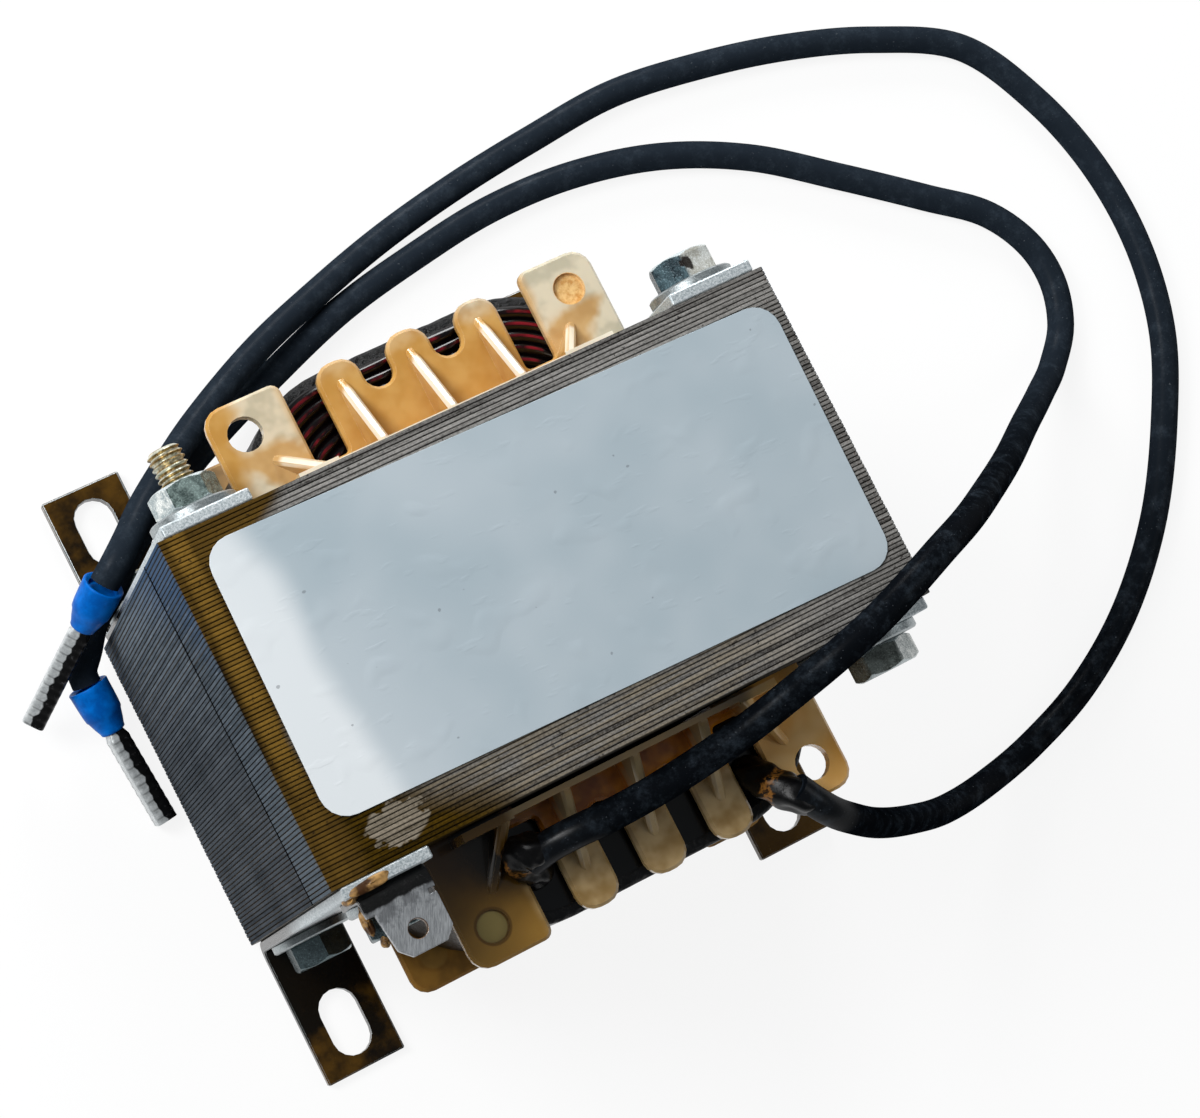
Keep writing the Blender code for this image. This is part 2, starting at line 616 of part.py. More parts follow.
def make_earth_tab(tinned):
    """A leg with a bolt hole, bent out over the bolt head into a flat blade."""
    head_top = BOLT_HIGH_Z + HEX_ACROSS_FLATS / 2 / math.cos(math.pi / 6)
    blade_low = head_top + TAB_HEAD_CLEARANCE
    blade_top = blade_low + TAB_THICKNESS
    leg_low = BOLT_HIGH_Z - TAB_LEG_BELOW_BOLT
    leg_y = -STRIP_OUTER_Y
    outer_radius = TAB_BEND_INNER_RADIUS + TAB_THICKNESS
    bend_centre = (leg_y - outer_radius, blade_top - outer_radius)
    tip_y = leg_y - TAB_THICKNESS - TAB_BLADE_LENGTH
    side = [(leg_y, leg_low)]
    side += arc(bend_centre, outer_radius, 0, 90, 4)
    side += [(tip_y, blade_top), (tip_y, blade_low)]
    side += arc(bend_centre, TAB_BEND_INNER_RADIUS, 90, 0, 4)
    side += [(leg_y - TAB_THICKNESS, leg_low)]
    root_half = TAB_ROOT_WIDTH / 2
    tab = add_object("earth_tab", prism(side, -root_half, root_half, "YZ"), tinned)
    tab.location.x = -BOLT_X * MM
    low = blade_low - TAB_CUT_MARGIN
    high = blade_top + TAB_CUT_MARGIN
    leg_front = leg_y - TAB_THICKNESS - TAB_CUT_MARGIN
    bolt_hole = circle((0, BOLT_HIGH_Z), WASHER_BORE_DIAMETER)
    hole = circle((TAB_BLADE_SHIFT, tip_y + TAB_HOLE_FROM_TIP), TAB_HOLE_DIAMETER, 16)
    cuts = [
        ("tab_bolt_hole", prism(bolt_hole, leg_front, leg_y + TAB_CUT_MARGIN, "XZ")),
        ("tab_blade_hole", prism(hole, low, high)),
    ]
    shoulder_y = leg_y - TAB_THICKNESS - TAB_SHOULDER_LENGTH
    out = root_half + TAB_CUT_MARGIN
    beyond = tip_y - TAB_CUT_MARGIN
    for name, side_sign in (("left", -1), ("right", 1)):
        edge = TAB_BLADE_SHIFT + side_sign * TAB_BLADE_WIDTH / 2
        corner = [
            (side_sign * out, beyond), (edge - side_sign * (TAB_TIP_CHAMFER + TAB_CUT_MARGIN), beyond),
            (edge - side_sign * TAB_TIP_CHAMFER, tip_y), (edge, tip_y + TAB_TIP_CHAMFER),
            (edge, shoulder_y), (side_sign * out, shoulder_y),
        ]
        cuts.append((f"tab_edge_{name}", prism(corner, low, high)))
    notch_x = TAB_BLADE_SHIFT + TAB_BLADE_WIDTH / 2 - TAB_NOTCH_DEPTH
    notch = [
        (notch_x, shoulder_y - TAB_NOTCH_WIDTH), (out, shoulder_y - TAB_NOTCH_WIDTH),
        (out, shoulder_y), (notch_x, shoulder_y),
    ]
    cuts.append(("tab_notch", prism(notch, low, high)))
    for name, bm in cuts:
        cutter = helper(name, bm)
        cutter.location.x = tab.location.x
        combine(tab, cutter, "DIFFERENCE")


# Bobbin

def flange_side(sign, lug_reach, notch_root):
    """Corners (x, y, radius) along one end of the flange, from its left to its right."""
    lug_y = TUBE_HOLE_Y + lug_reach
    finger_y = lug_y - FINGER_SHORTER
    root_y = TUBE_HOLE_Y + notch_root
    gap_y = TUBE_HOLE_Y + LEAD_GAP_ROOT
    half_finger = FINGER_WIDTH / 2
    notch_radius = (FINGER_PITCH - FINGER_WIDTH) / 2 * 0.98
    corners = [(-FLANGE_X, lug_y, LUG_CORNER_RADIUS), (-LUG_INNER_LEFT, lug_y, LUG_CORNER_RADIUS / 2)]
    corners += [(-LUG_INNER_LEFT, gap_y, LEAD_GAP_FILLET)]
    first = FINGER_ROW_SHIFT - FINGER_PITCH * (FINGER_COUNT - 1) / 2
    for i in range(FINGER_COUNT):
        x = first + FINGER_PITCH * i
        left_root = (gap_y, LEAD_GAP_FILLET) if i == 0 else (root_y, notch_radius)
        right_root = (gap_y, LEAD_GAP_FILLET) if i == FINGER_COUNT - 1 else (root_y, notch_radius)
        corners += [(x - half_finger, left_root[0], left_root[1])]
        for tip_x in (x - half_finger, x + half_finger):
            corners += [(tip_x, finger_y, FINGER_TIP_RADIUS)]
        corners += [(x + half_finger, right_root[0], right_root[1])]
    corners += [(LUG_INNER_RIGHT, gap_y, LEAD_GAP_FILLET)]
    corners += [(LUG_INNER_RIGHT, lug_y, LUG_CORNER_RADIUS / 2), (FLANGE_X, lug_y, LUG_CORNER_RADIUS)]
    corners = [(x, sign * y, radius) for x, y, radius in corners]
    return corners if sign < 0 else corners[::-1]


def flange(low):
    corners = flange_side(-1, FRONT_LUG_REACH, FRONT_NOTCH_ROOT)
    corners += flange_side(1, BACK_LUG_REACH, BACK_NOTCH_ROOT)
    return prism(rounded(corners, 4), low, low + FLANGE_THICKNESS)


def collar_and_ribs(top_level, up):
    """The upright collar walls of one flange and the ribs that brace them, as named outlines."""
    pieces = []
    near = TUBE_HOLE_Y
    foot = top_level - up * FLANGE_THICKNESS / 2
    for sign in (-1, 1):
        height = FRONT_COLLAR_HEIGHT if sign < 0 else BACK_COLLAR_HEIGHT
        low, high = sorted((foot, top_level + up * height))
        # The collar's long end is at the left in front and at the right behind.
        long_end = sign
        long_step = FLANGE_X - COLLAR_STEP_LONG_INSET
        short_step = COLLAR_STEP_SHORT_INSET - FLANGE_X
        for start, end, depth in (
            (FLANGE_X - COLLAR_LONG_END_INSET, long_step, COLLAR_END_THICKNESS),
            (long_step + COLLAR_LAP, short_step - COLLAR_LAP, COLLAR_WALL_THICKNESS),
            (short_step, COLLAR_SHORT_END_INSET - FLANGE_X, COLLAR_END_THICKNESS),
        ):
            xs = sorted((long_end * start, long_end * end))
            ys = sorted((sign * near, sign * (near + depth)))
            outline = [(xs[0], ys[0]), (xs[1], ys[0]), (xs[1], ys[1]), (xs[0], ys[1])]
            pieces.append((prism(outline, low, high), 0))
        wall_y = near + COLLAR_WALL_THICKNESS / 2
        first = FINGER_ROW_SHIFT - FINGER_PITCH * (FINGER_COUNT - 1) / 2
        for i in range(FINGER_COUNT):
            x = first + FINGER_PITCH * i
            size = (near + RIB_REACH - wall_y, RIB_WIDTH, height - RIB_TOP_DROP)
            pieces.append((rib(foot, top_level, up, (x, sign * wall_y), size, sign, 0), 1))
        # The lugs' ribs run from the wall's ends out over the lugs.
        outward = (FRONT_LUG_RIB_REACH if sign < 0 else BACK_LUG_RIB_REACH) - COLLAR_WALL_THICKNESS / 2
        sideways = LUG_RIB_WALL_INSET - LUG_RIB_TIP_INSET
        size = (math.hypot(outward, sideways), LUG_RIB_WIDTH, LUG_RIB_HEIGHT)
        for side in (-1, 1):
            turn = math.atan2(-side * sign * sideways, outward)
            start = (side * (FLANGE_X - LUG_RIB_WALL_INSET), sign * wall_y)
            pieces.append((rib(foot, top_level, up, start, size, sign, turn), 1))
    return pieces


def rib(foot, top_level, up, start, size, sign, turn):
    """A brace that falls from the wall to the flange, turned about its start on the wall.

    Its size is its length, width and height.
    """
    length, width, height = size
    outline = [
        (0, foot), (sign * length, foot), (sign * length, top_level + up * RIB_TIP_HEIGHT),
        (sign * RIB_CREST_LENGTH, top_level + up * height), (0, top_level + up * height),
    ]
    bm = prism(outline, -width / 2, width / 2, "YZ")
    place = Matrix.Translation((start[0], start[1], 0)) @ Matrix.Rotation(turn, 4, "Z")
    bmesh.ops.transform(bm, matrix=place, verts=bm.verts)
    return bm


def make_bobbin(nylon):
    """Two toothed flanges on a square tube, with braced collar walls, lug holes and dimples."""
    bobbin = add_object("bobbin", flange(FLANGE_TOP - FLANGE_THICKNESS), nylon)
    round_edges(bobbin, FLANGE_EDGE_BEVEL, 1, 60)
    lower = helper("bobbin_lower_flange", flange(FLANGE_LOW))
    round_edges(lower, FLANGE_EDGE_BEVEL, 1, 60)
    combine(bobbin, lower, "UNION")
    middle = FLANGE_THICKNESS / 2
    walls = prism(box_outline(TUBE_X, TUBE_Y), FLANGE_LOW + middle, FLANGE_TOP - middle)
    combine(bobbin, helper("bobbin_tube", walls), "UNION")
    parts = collar_and_ribs(FLANGE_TOP, 1) + collar_and_ribs(FLANGE_LOW, -1)
    for i, (bm, is_rib) in enumerate(parts):
        piece = helper(f"bobbin_{'rib' if is_rib else 'collar'}_{i}", bm)
        if is_rib:
            round_edges(piece, RIB_EDGE_BEVEL, 1, 60)
        combine(bobbin, piece, "UNION")
    bore = prism(box_outline(TUBE_HOLE_X, TUBE_HOLE_Y), FLANGE_LOW - 1, FLANGE_TOP + 1)
    combine(bobbin, helper("bobbin_bore", bore), "DIFFERENCE")
    front_y = -(TUBE_HOLE_Y + FRONT_LUG_REACH - LUG_HOLE_FROM_TIP)
    back_y = TUBE_HOLE_Y + BACK_LUG_REACH - LUG_HOLE_FROM_TIP
    hole_x = FLANGE_X - LUG_HOLE_FROM_SIDE
    for level, name in ((FLANGE_TOP, "top"), (FLANGE_LOW + FLANGE_THICKNESS, "low")):
        low = level - FLANGE_THICKNESS - 1
        for x, y, side in ((hole_x, front_y, "front"), (-hole_x, back_y, "back")):
            hole = prism(circle((x, y), LUG_HOLE_DIAMETER), low, level + 1)
            combine(bobbin, helper(f"lug_hole_{name}_{side}", hole), "DIFFERENCE")
    for x, y, side in ((-hole_x, front_y, "front"), (hole_x, back_y, "back")):
        dimple = prism(circle((x, y), DIMPLE_DIAMETER), FLANGE_TOP - DIMPLE_DEPTH, FLANGE_TOP + 1)
        combine(bobbin, helper(f"lug_dimple_{side}", dimple), "DIFFERENCE")


# Winding

def coil_outline(x, front, back, radius):
    return rounded([(-x, -front, radius), (x, -front, radius), (x, back, radius), (-x, back, radius)])


def ring_between(outer_levels, inner):
    """A closed ring: stacked outer outlines [(outline, z)] and a straight inner outline."""
    bm = bmesh.new()
    low = outer_levels[0][1]
    high = outer_levels[-1][1]
    count = len(inner)
    outer = [[bm.verts.new((x, y, z)) for x, y in outline] for outline, z in outer_levels]
    inner_low = [bm.verts.new((x, y, low)) for x, y in inner]
    inner_high = [bm.verts.new((x, y, high)) for x, y in inner]
    loops = [*outer, inner_high, inner_low, outer[0]]
    for lower, upper in zip(loops, loops[1:]):
        for i in range(count):
            j = (i + 1) % count
            bm.faces.new((lower[i], lower[j], upper[j], upper[i]))
    return bm


def make_winding(copper, wrap_tape):
    """The coil with the crests of its turns, and the wrap that closes it."""
    inner_x = TUBE_X + WINDING_TUBE_CLEARANCE
    inner_y = TUBE_Y + WINDING_TUBE_CLEARANCE
    inner = coil_outline(inner_x, inner_y, inner_y, 0.8)
    x = FLANGE_X - WINDING_SIDE_INSET
    front = inner_y + WINDING_BUILD_FRONT
    back = inner_y + WINDING_BUILD_BACK
    levels = []
    pitch = (WINDING_TOP - WINDING_LOW) / WINDING_TURNS
    for i in range(WINDING_TURNS + 1):
        groove = WINDING_CREST
        levels.append((x - groove, front - groove, back - groove, WINDING_LOW + pitch * i))
        if i < WINDING_TURNS:
            levels.append((x, front, back, WINDING_LOW + pitch * (i + 0.5)))
    outer = [(coil_outline(a, b, c, WINDING_CORNER_RADIUS), z) for a, b, c, z in levels]
    add_object("winding", ring_between(outer, inner), copper, 60)
    near = [value + WRAP_GAP for value in (x, front, back)]
    far = [value + WRAP_THICKNESS for value in near]
    wrap_low = WINDING_LOW + WRAP_SHORTER
    wrap_high = WINDING_TOP - WRAP_SHORTER
    hollow = coil_outline(*near, WINDING_CORNER_RADIUS + WRAP_GAP)
    shell = coil_outline(*far, WINDING_CORNER_RADIUS + WRAP_GAP + WRAP_THICKNESS)
    add_object("outer_wrap", ring_between([(shell, wrap_low), (shell, wrap_high)], hollow), wrap_tape, 60)


# Leads

def lead_path(route):
    """Points along the route, closer together at its two bent ends."""
    fine = smooth_path(route, LEAD_FINE_STEP)
    last = len(fine) - 1
    picks = [0, LEAD_TAIL_STEPS]
    while last - picks[-1] > LEAD_CLOSE_STEPS + LEAD_TAIL_STEPS:
        bent = picks[-1] < LEAD_BENT_START or last - picks[-1] < LEAD_BENT_END
        picks.append(picks[-1] + (LEAD_CLOSE_STEPS if bent else LEAD_STEPS))
    picks += [last - LEAD_TAIL_STEPS, last]
    return [fine[i] for i in picks]


def make_leads(rubber, sleeve_resin):
    for name, route, sleeve, lug_x in (
        ("inner", INNER_ROUTE, INNER_SLEEVE_ROUTE, -LUG_INNER_LEFT),
        ("outer", OUTER_ROUTE, OUTER_SLEEVE_ROUTE, LUG_INNER_RIGHT),
    ):
        path = lead_path(route)
        tube(f"lead_{name}", path, [LEAD_DIAMETER] * len(path), rubber)
        raised = [(lug_x + x, y - TUBE_HOLE_Y, FLANGE_TOP + z) for x, y, z in sleeve]
        steps = smooth_path(raised, 1.2)
        share = [(i / (len(steps) - 1)) ** 2 for i in range(len(steps))]
        widths = [SLEEVE_ROOT_DIAMETER + (SLEEVE_MOUTH_DIAMETER - SLEEVE_ROOT_DIAMETER) * s for s in share]
        tube(f"lead_sleeve_{name}", steps, widths, sleeve_resin)


def make_ferrule(name, lead_end, pin_end, pin_length, collar_blue, tin):
    """Collar and crimped pin along the line from the lead's end towards the pin's end."""
    start = Vector(lead_end)
    axis = (Vector(pin_end) - start).normalized()
    turn = Vector((0, 1, 0)).rotation_difference(axis)
    mouth = COLLAR_MOUTH_DIAMETER / 2
    neck = COLLAR_NECK_DIAMETER / 2
    profile = [
        (0, LEAD_END_GAP), (mouth, LEAD_END_GAP), (mouth, COLLAR_TAPER_START),
        (neck, COLLAR_LENGTH), (0, COLLAR_LENGTH),
    ]
    collar = add_object(f"ferrule_collar_{name}", turned(profile, THREAD_SIDES), collar_blue, 40)
    bm = bmesh.new()
    rings = []
    count = 2 * PIN_RIPPLE_COUNT + 1
    for i in range(count):
        y = COLLAR_LENGTH + pin_length * i / (count - 1)
        half_x = PIN_WIDTH / 2 - (PIN_RIPPLE if i % 2 else 0)
        half_z = PIN_HEIGHT / 2 - (PIN_RIPPLE if i % 2 else 0)
        cut = PIN_CORNER_CUT
        quarter = [(half_x, half_z - cut), (half_x - cut, half_z)]
        other = [(-x, z) for x, z in reversed(quarter)]
        section = [(-x, -z) for x, z in quarter + other] + quarter + other
        rings.append([bm.verts.new((x, y, z)) for x, z in section])
    bm.faces.new(rings[0])
    bm.faces.new(rings[-1])
    for lower, upper in zip(rings, rings[1:]):
        for i in range(8):
            j = (i + 1) % 8
            bm.faces.new((lower[i], lower[j], upper[j], upper[i]))
    pin = add_object(f"ferrule_pin_{name}", bm, tin)
    for piece in (collar, pin):
        piece.location = start * MM
        piece.rotation_mode = "QUATERNION"
        piece.rotation_quaternion = turn


def main():
    clear_scene()
    sheet_steel = material("sheet_steel", (0.16, 0.15, 0.14), 0.5, 0.7)
    gap_board = material("gap_board", (0.03, 0.03, 0.03), 0.7)
    paper = material("label_paper", (0.55, 0.6, 0.64), 0.45)
    strip_steel = material("strip_steel", (0.32, 0.27, 0.19), 0.4, 0.8)
    bolt_steel = material("bolt_steel", (0.5, 0.48, 0.42), 0.35, 0.9)
    nut_steel = material("nut_steel", (0.5, 0.53, 0.55), 0.3, 0.9)
    washer_steel = material("washer_steel", (0.5, 0.5, 0.5), 0.35, 0.9)
    tinned = material("tab_tin", (0.45, 0.46, 0.48), 0.4, 0.9)
    nylon = material("bobbin_nylon", (0.62, 0.42, 0.2), 0.35)
    copper = material("winding_enamel", (0.12, 0.01, 0.008), 0.3)
    wrap_tape = material("wrap_tape", (0.012, 0.012, 0.014), 0.35)
    rubber = material("lead_rubber", (0.012, 0.014, 0.018), 0.5)
    sleeve_resin = material("sleeve_resin", (0.02, 0.012, 0.008), 0.25)
    collar_blue = material("collar_blue", (0.01, 0.13, 0.5), 0.35)
    tin = material("pin_tin", (0.4, 0.4, 0.4), 0.4, 0.9)
    make_core(sheet_steel, gap_board)
    make_label(paper)
    make_brackets(strip_steel)
    make_fasteners((bolt_steel, nut_steel, washer_steel))
    make_earth_tab(tinned)
    make_bobbin(nylon)
    make_winding(copper, wrap_tape)
    make_leads(rubber, sleeve_resin)
    make_ferrule("inner", INNER_ROUTE[-1], INNER_PIN_END, INNER_PIN_LENGTH, collar_blue, tin)
    make_ferrule("outer", OUTER_ROUTE[-1], OUTER_PIN_END, OUTER_PIN_LENGTH, collar_blue, tin)


main()
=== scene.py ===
"""DC link choke: an E and I sheet core on slotted feet, a toothed bobbin, and two leads.

Frame: +Z up, feet on z = 0, front is -Y, left is -X. Shapes are worked out in millimetres
and put into the meshes in metres.
"""

import math

import bmesh
import bpy
import numpy as np
from mathutils import Matrix, Vector
from mathutils.geometry import tessellate_polygon


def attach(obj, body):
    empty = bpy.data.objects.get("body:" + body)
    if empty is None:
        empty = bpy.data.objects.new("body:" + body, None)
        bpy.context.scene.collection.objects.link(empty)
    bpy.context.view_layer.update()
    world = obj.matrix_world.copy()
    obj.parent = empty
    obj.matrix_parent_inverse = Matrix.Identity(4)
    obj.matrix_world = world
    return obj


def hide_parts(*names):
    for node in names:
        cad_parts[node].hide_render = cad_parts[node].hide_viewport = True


bl_info = {
    "name": "DC Link Choke",
    "version": (1, 0, 0),
    "blender": (4, 5, 0),
    "location": "3D View > Sidebar > Choke",
    "description": "Builds the looks of a small iron core choke piece by piece",
    "category": "Object",
}

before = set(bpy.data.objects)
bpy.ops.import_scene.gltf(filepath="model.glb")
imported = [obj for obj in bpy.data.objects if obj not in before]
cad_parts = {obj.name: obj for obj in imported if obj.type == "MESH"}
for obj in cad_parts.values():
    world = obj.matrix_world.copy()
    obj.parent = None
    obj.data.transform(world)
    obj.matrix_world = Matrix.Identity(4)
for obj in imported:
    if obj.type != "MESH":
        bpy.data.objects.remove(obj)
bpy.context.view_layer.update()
SCALE = 0.001
BODY = "root"

# Levels and places of the core and its pieces, in millimetres.
CORE_X = 33.0
CORE_Y = 18.0
CORE_FOOT = 1.5
SEAM_LOW = 45.5
SEAM_HIGH = 45.9
CORE_TOP = 56.9
LEG_X = 11.0
WINDOW_X = 22.0
WINDOW_LOW = 12.5
SHEET_COUNT = 81
SHEET_PITCH = 2 * CORE_Y / SHEET_COUNT
CORNER_CUT = 0.12

# Bolts along Y: their places, the outer face of the strips, heights along the bolt, the
# hexagons' chamfer and a radius past their corners.
BOLT_X = 27.5
BOLT_LOW_Z = 7.0
BOLT_HIGH_Z = 51.4
STRIP_Y = 19.25
WASHER_HEIGHT = 1.0
TAB_HEIGHT = 0.8
HEAD_HEIGHT = 2.8
NUT_HEIGHT = 2.7
THREAD_PITCH = 0.6
CHAMFER = 0.42
PAST_HEX = 9.0
# Name, x, z, side of the head, thread past the nut, and turns of head and nut in degrees.
FASTENER_SETS = (
    ("upper_left", -BOLT_X, BOLT_HIGH_Z, -1, 3.7, 8, 26),
    ("upper_right", BOLT_X, BOLT_HIGH_Z, 1, -0.1, 46, 50),
    ("lower_left", -BOLT_X, BOLT_LOW_Z, -1, 0.4, 0, 10),
    ("lower_right", BOLT_X, BOLT_LOW_Z, 1, 0.4, 0, 20),
)
# The earth blade past its root is cut back on its left, and has a hole.
BLADE_ROOT_Y = -21.5
BLADE_LEFT_X = -28.5
BLADE_CUT = 0.6
BLADE_HOLE = (-27.15, -24.45)

# Loops of the winding: half width, front, back, and the corners' radii in front and behind.
TUBE_LOOP = (12.9, 20.1, 20.1, 3.2, 4.4)
WRAP_LOOP = (20.3, 29.3, 27.95, 10.5, 12.0)
BUILD_SIDE = 7.15
BUILD_FRONT = 8.9
BUILD_BACK = 7.55
COIL_LOW = 14.9
COIL_HIGH = 43.1
COIL_LAYERS = 6
COIL_TURNS = 22
WRAP_EDGE = (
    (0.95, 42.6), (0.5, 42.85), (0.0, 42.95), (-0.7, 43.15), (-0.75, 42.9), (0.0, 42.6),
    (0.35, 42.2),
)

# Places on the finishes: the dry patch on the core, rust on the right head, lug dimples.
DRY_PATCH = (-24.6, -14.9)
RUST_SPOT = (27.0, 21.7, 54.4)
BACK_DIMPLE = (18.2, 25.75)
FRONT_DIMPLE = (-18.2, -27.55)

# Directions that a path is never along, for a level path and for one that may stand upright.
LEVEL_REFERENCE = (0.05, 0.02, 1.0)
UPRIGHT_REFERENCE = (1.0, 0.1, 0.05)

# Centrelines of the leads, from where each leaves its sleeve to its ferrule, and of the sleeves.
INNER_ROUTE = (
    (-12.7, -23.6, 48.1), (-11.0, -23.2, 49.6), (-8.6, -23.1, 50.8), (-5.2, -23.2, 51.3),
    (-0.6, -23.1, 51.5), (5.2, -22.6, 51.8), (11.0, -21.8, 52.9), (15.6, -20.8, 55.1),
    (20.0, -19.7, 58.1), (25.2, -18.3, 59.4), (30.3, -16.6, 59.4), (35.4, -14.9, 57.7),
    (41.5, -13.2, 53.1), (49.1, -11.0, 44.3), (57.9, -8.4, 32.9), (67.1, -5.3, 20.5),
    (76.2, -2.1, 9.1), (82.2, 0.7, 3.2), (86.3, 4.7, 1.65), (88.0, 9.7, 1.6),
    (87.6, 14.8, 1.6), (84.6, 20.3, 1.6), (78.4, 25.3, 1.6), (69.7, 31.9, 1.6),
    (60.7, 38.3, 1.6), (50.8, 42.7, 1.6), (40.0, 44.9, 1.6), (29.2, 45.1, 1.6),
    (18.5, 43.6, 1.6), (8.0, 41.4, 1.7), (-2.9, 37.6, 2.5), (-13.8, 33.0, 5.2),
    (-19.5, 30.0, 7.9), (-24.0, 27.4, 10.5), (-27.8, 24.9, 12.2), (-31.3, 21.9, 11.4),
    (-33.8, 20.1, 8.9), (-35.5, 17.8, 7.0), (-36.9, 16.0, 6.2), (-37.0, 14.7, 5.8),
)
OUTER_ROUTE = (
    (14.1, -29.0, 49.1), (15.6, -31.1, 48.1), (17.3, -32.8, 46.5), (19.9, -34.3, 43.1),
    (25.0, -36.2, 35.0), (32.2, -37.9, 24.6), (40.4, -39.1, 14.2), (49.1, -39.0, 6.3),
    (57.7, -37.7, 2.3), (66.7, -34.7, 1.6), (76.1, -29.2, 1.6), (85.1, -21.0, 1.6),
    (92.5, -11.0, 1.6), (97.8, -1.3, 1.6), (100.3, 9.2, 1.6), (100.1, 20.1, 1.6),
    (97.3, 30.5, 1.6), (91.8, 40.0, 1.6), (81.8, 45.3, 1.6), (71.1, 48.7, 1.6),
    (60.0, 50.8, 1.6), (48.9, 51.8, 1.6), (37.6, 50.7, 1.6), (26.8, 49.2, 1.6),
    (16.0, 47.0, 1.8), (5.7, 43.9, 3.2), (-3.8, 40.4, 5.6), (-14.2, 35.2, 8.8),
    (-20.6, 31.1, 12.6), (-25.0, 28.0, 15.4), (-28.1, 25.4, 17.0), (-30.4, 23.6, 17.2),
    (-32.2, 22.3, 16.3),
)
INNER_PIN_END = (-35.2, -1.7, 1.4)
OUTER_PIN_END = (-43.8, 13.4, 4.0)
INNER_SLEEVE = (
    (-11.7, -24.8, 43.6), (-12.0, -24.3, 45.0), (-13.0, -23.3, 46.8), (-13.5, -22.7, 47.7),
    (-12.9, -22.6, 48.7), (-11.2, -23.3, 49.4),
)
OUTER_SLEEVE = (
    (12.2, -25.4, 43.5), (12.4, -26.4, 45.2), (12.9, -27.8, 46.7), (13.7, -29.1, 47.9),
    (14.5, -30.0, 48.4), (15.3, -30.7, 48.3),
)
# Blobs of set varnish: name, centre and half sizes.
BLOBS = (
    ("strip", (-29.4, -18.85, 56.85), (2.2, 0.6, 0.26)),
    ("end", (-31.4, -19.3, 55.4), (0.8, 0.55, 1.2)),
    ("drip", (-30.7, -21.8, 54.1), (0.5, 1.5, 0.5)),
    ("drop", (-29.8, -24.2, 53.2), (0.45, 0.6, 0.45)),
)

# Stage: lamps with their place, size in millimetres and power, and the camera's frame.
LAMPS = (
    ("key", (-340, 300, 420), 200, 2.3),
    ("top", (-260, 200, 520), 240, 1.15),
    ("back", (120, 350, 150), 130, 0.9),
    ("fill", (420, -180, 420), 300, 0.4),
)
LAMPS_AIM = (0, 0, 20)
CAMERA_PLACE = (-87.45, -24.56, 349.92)
CAMERA_AXES = (
    (0.86007, -0.45361, 0.23351), (0.41377, 0.88794, 0.20088), (-0.29847, -0.07615, 0.95138),
)


def srgb(red, green, blue):
    """Linear colour of an sRGB colour given in steps of 0 to 255."""
    share = np.array([red, green, blue]) / 255.0
    linear = np.where(share <= 0.04045, share / 12.92, ((share + 0.055) / 1.055) ** 2.4)
    return tuple(float(value) for value in linear)


# Shader maths


class Value:
    """A socket that takes part in Python expressions; each operator adds its Math node."""

    def __init__(self, finish, socket):
        self.finish = finish
        self.socket = socket

    def math(self, operation, *others):
        """A Math node of this operation on this value and the others."""
        inputs = dict(enumerate((self, *others)))
        return self.finish.node("ShaderNodeMath", {"operation": operation}, inputs)

    def __add__(self, other):
        return self.math("ADD", other)

    __radd__ = __add__

    def __mul__(self, other):
        return self.math("MULTIPLY", other)

    __rmul__ = __mul__

    def __sub__(self, other):
        return self.math("SUBTRACT", other)

    def __rsub__(self, other):
        return (self * -1.0) + other

    def __pow__(self, other):
        return self.math("POWER", other)

    def absolute(self):
        return self.math("ABSOLUTE")

    def fraction(self):
        return self.math("FRACT")

    def floor(self):
        return self.math("FLOOR")

    def largest(self, other):
        return self.math("MAXIMUM", other)

    def smallest(self, other):
        return self.math("MINIMUM", other)

    def between(self, low, high):
        """0 below low, 1 above high and a smooth rise between them; falls where low > high."""
        if low > high:
            return 1.0 - self.between(high, low)
        settings = {"interpolation_type": "SMOOTHSTEP"}
        inputs = {"Value": self, "From Min": low, "From Max": high}
        return self.finish.node("ShaderNodeMapRange", settings, inputs)


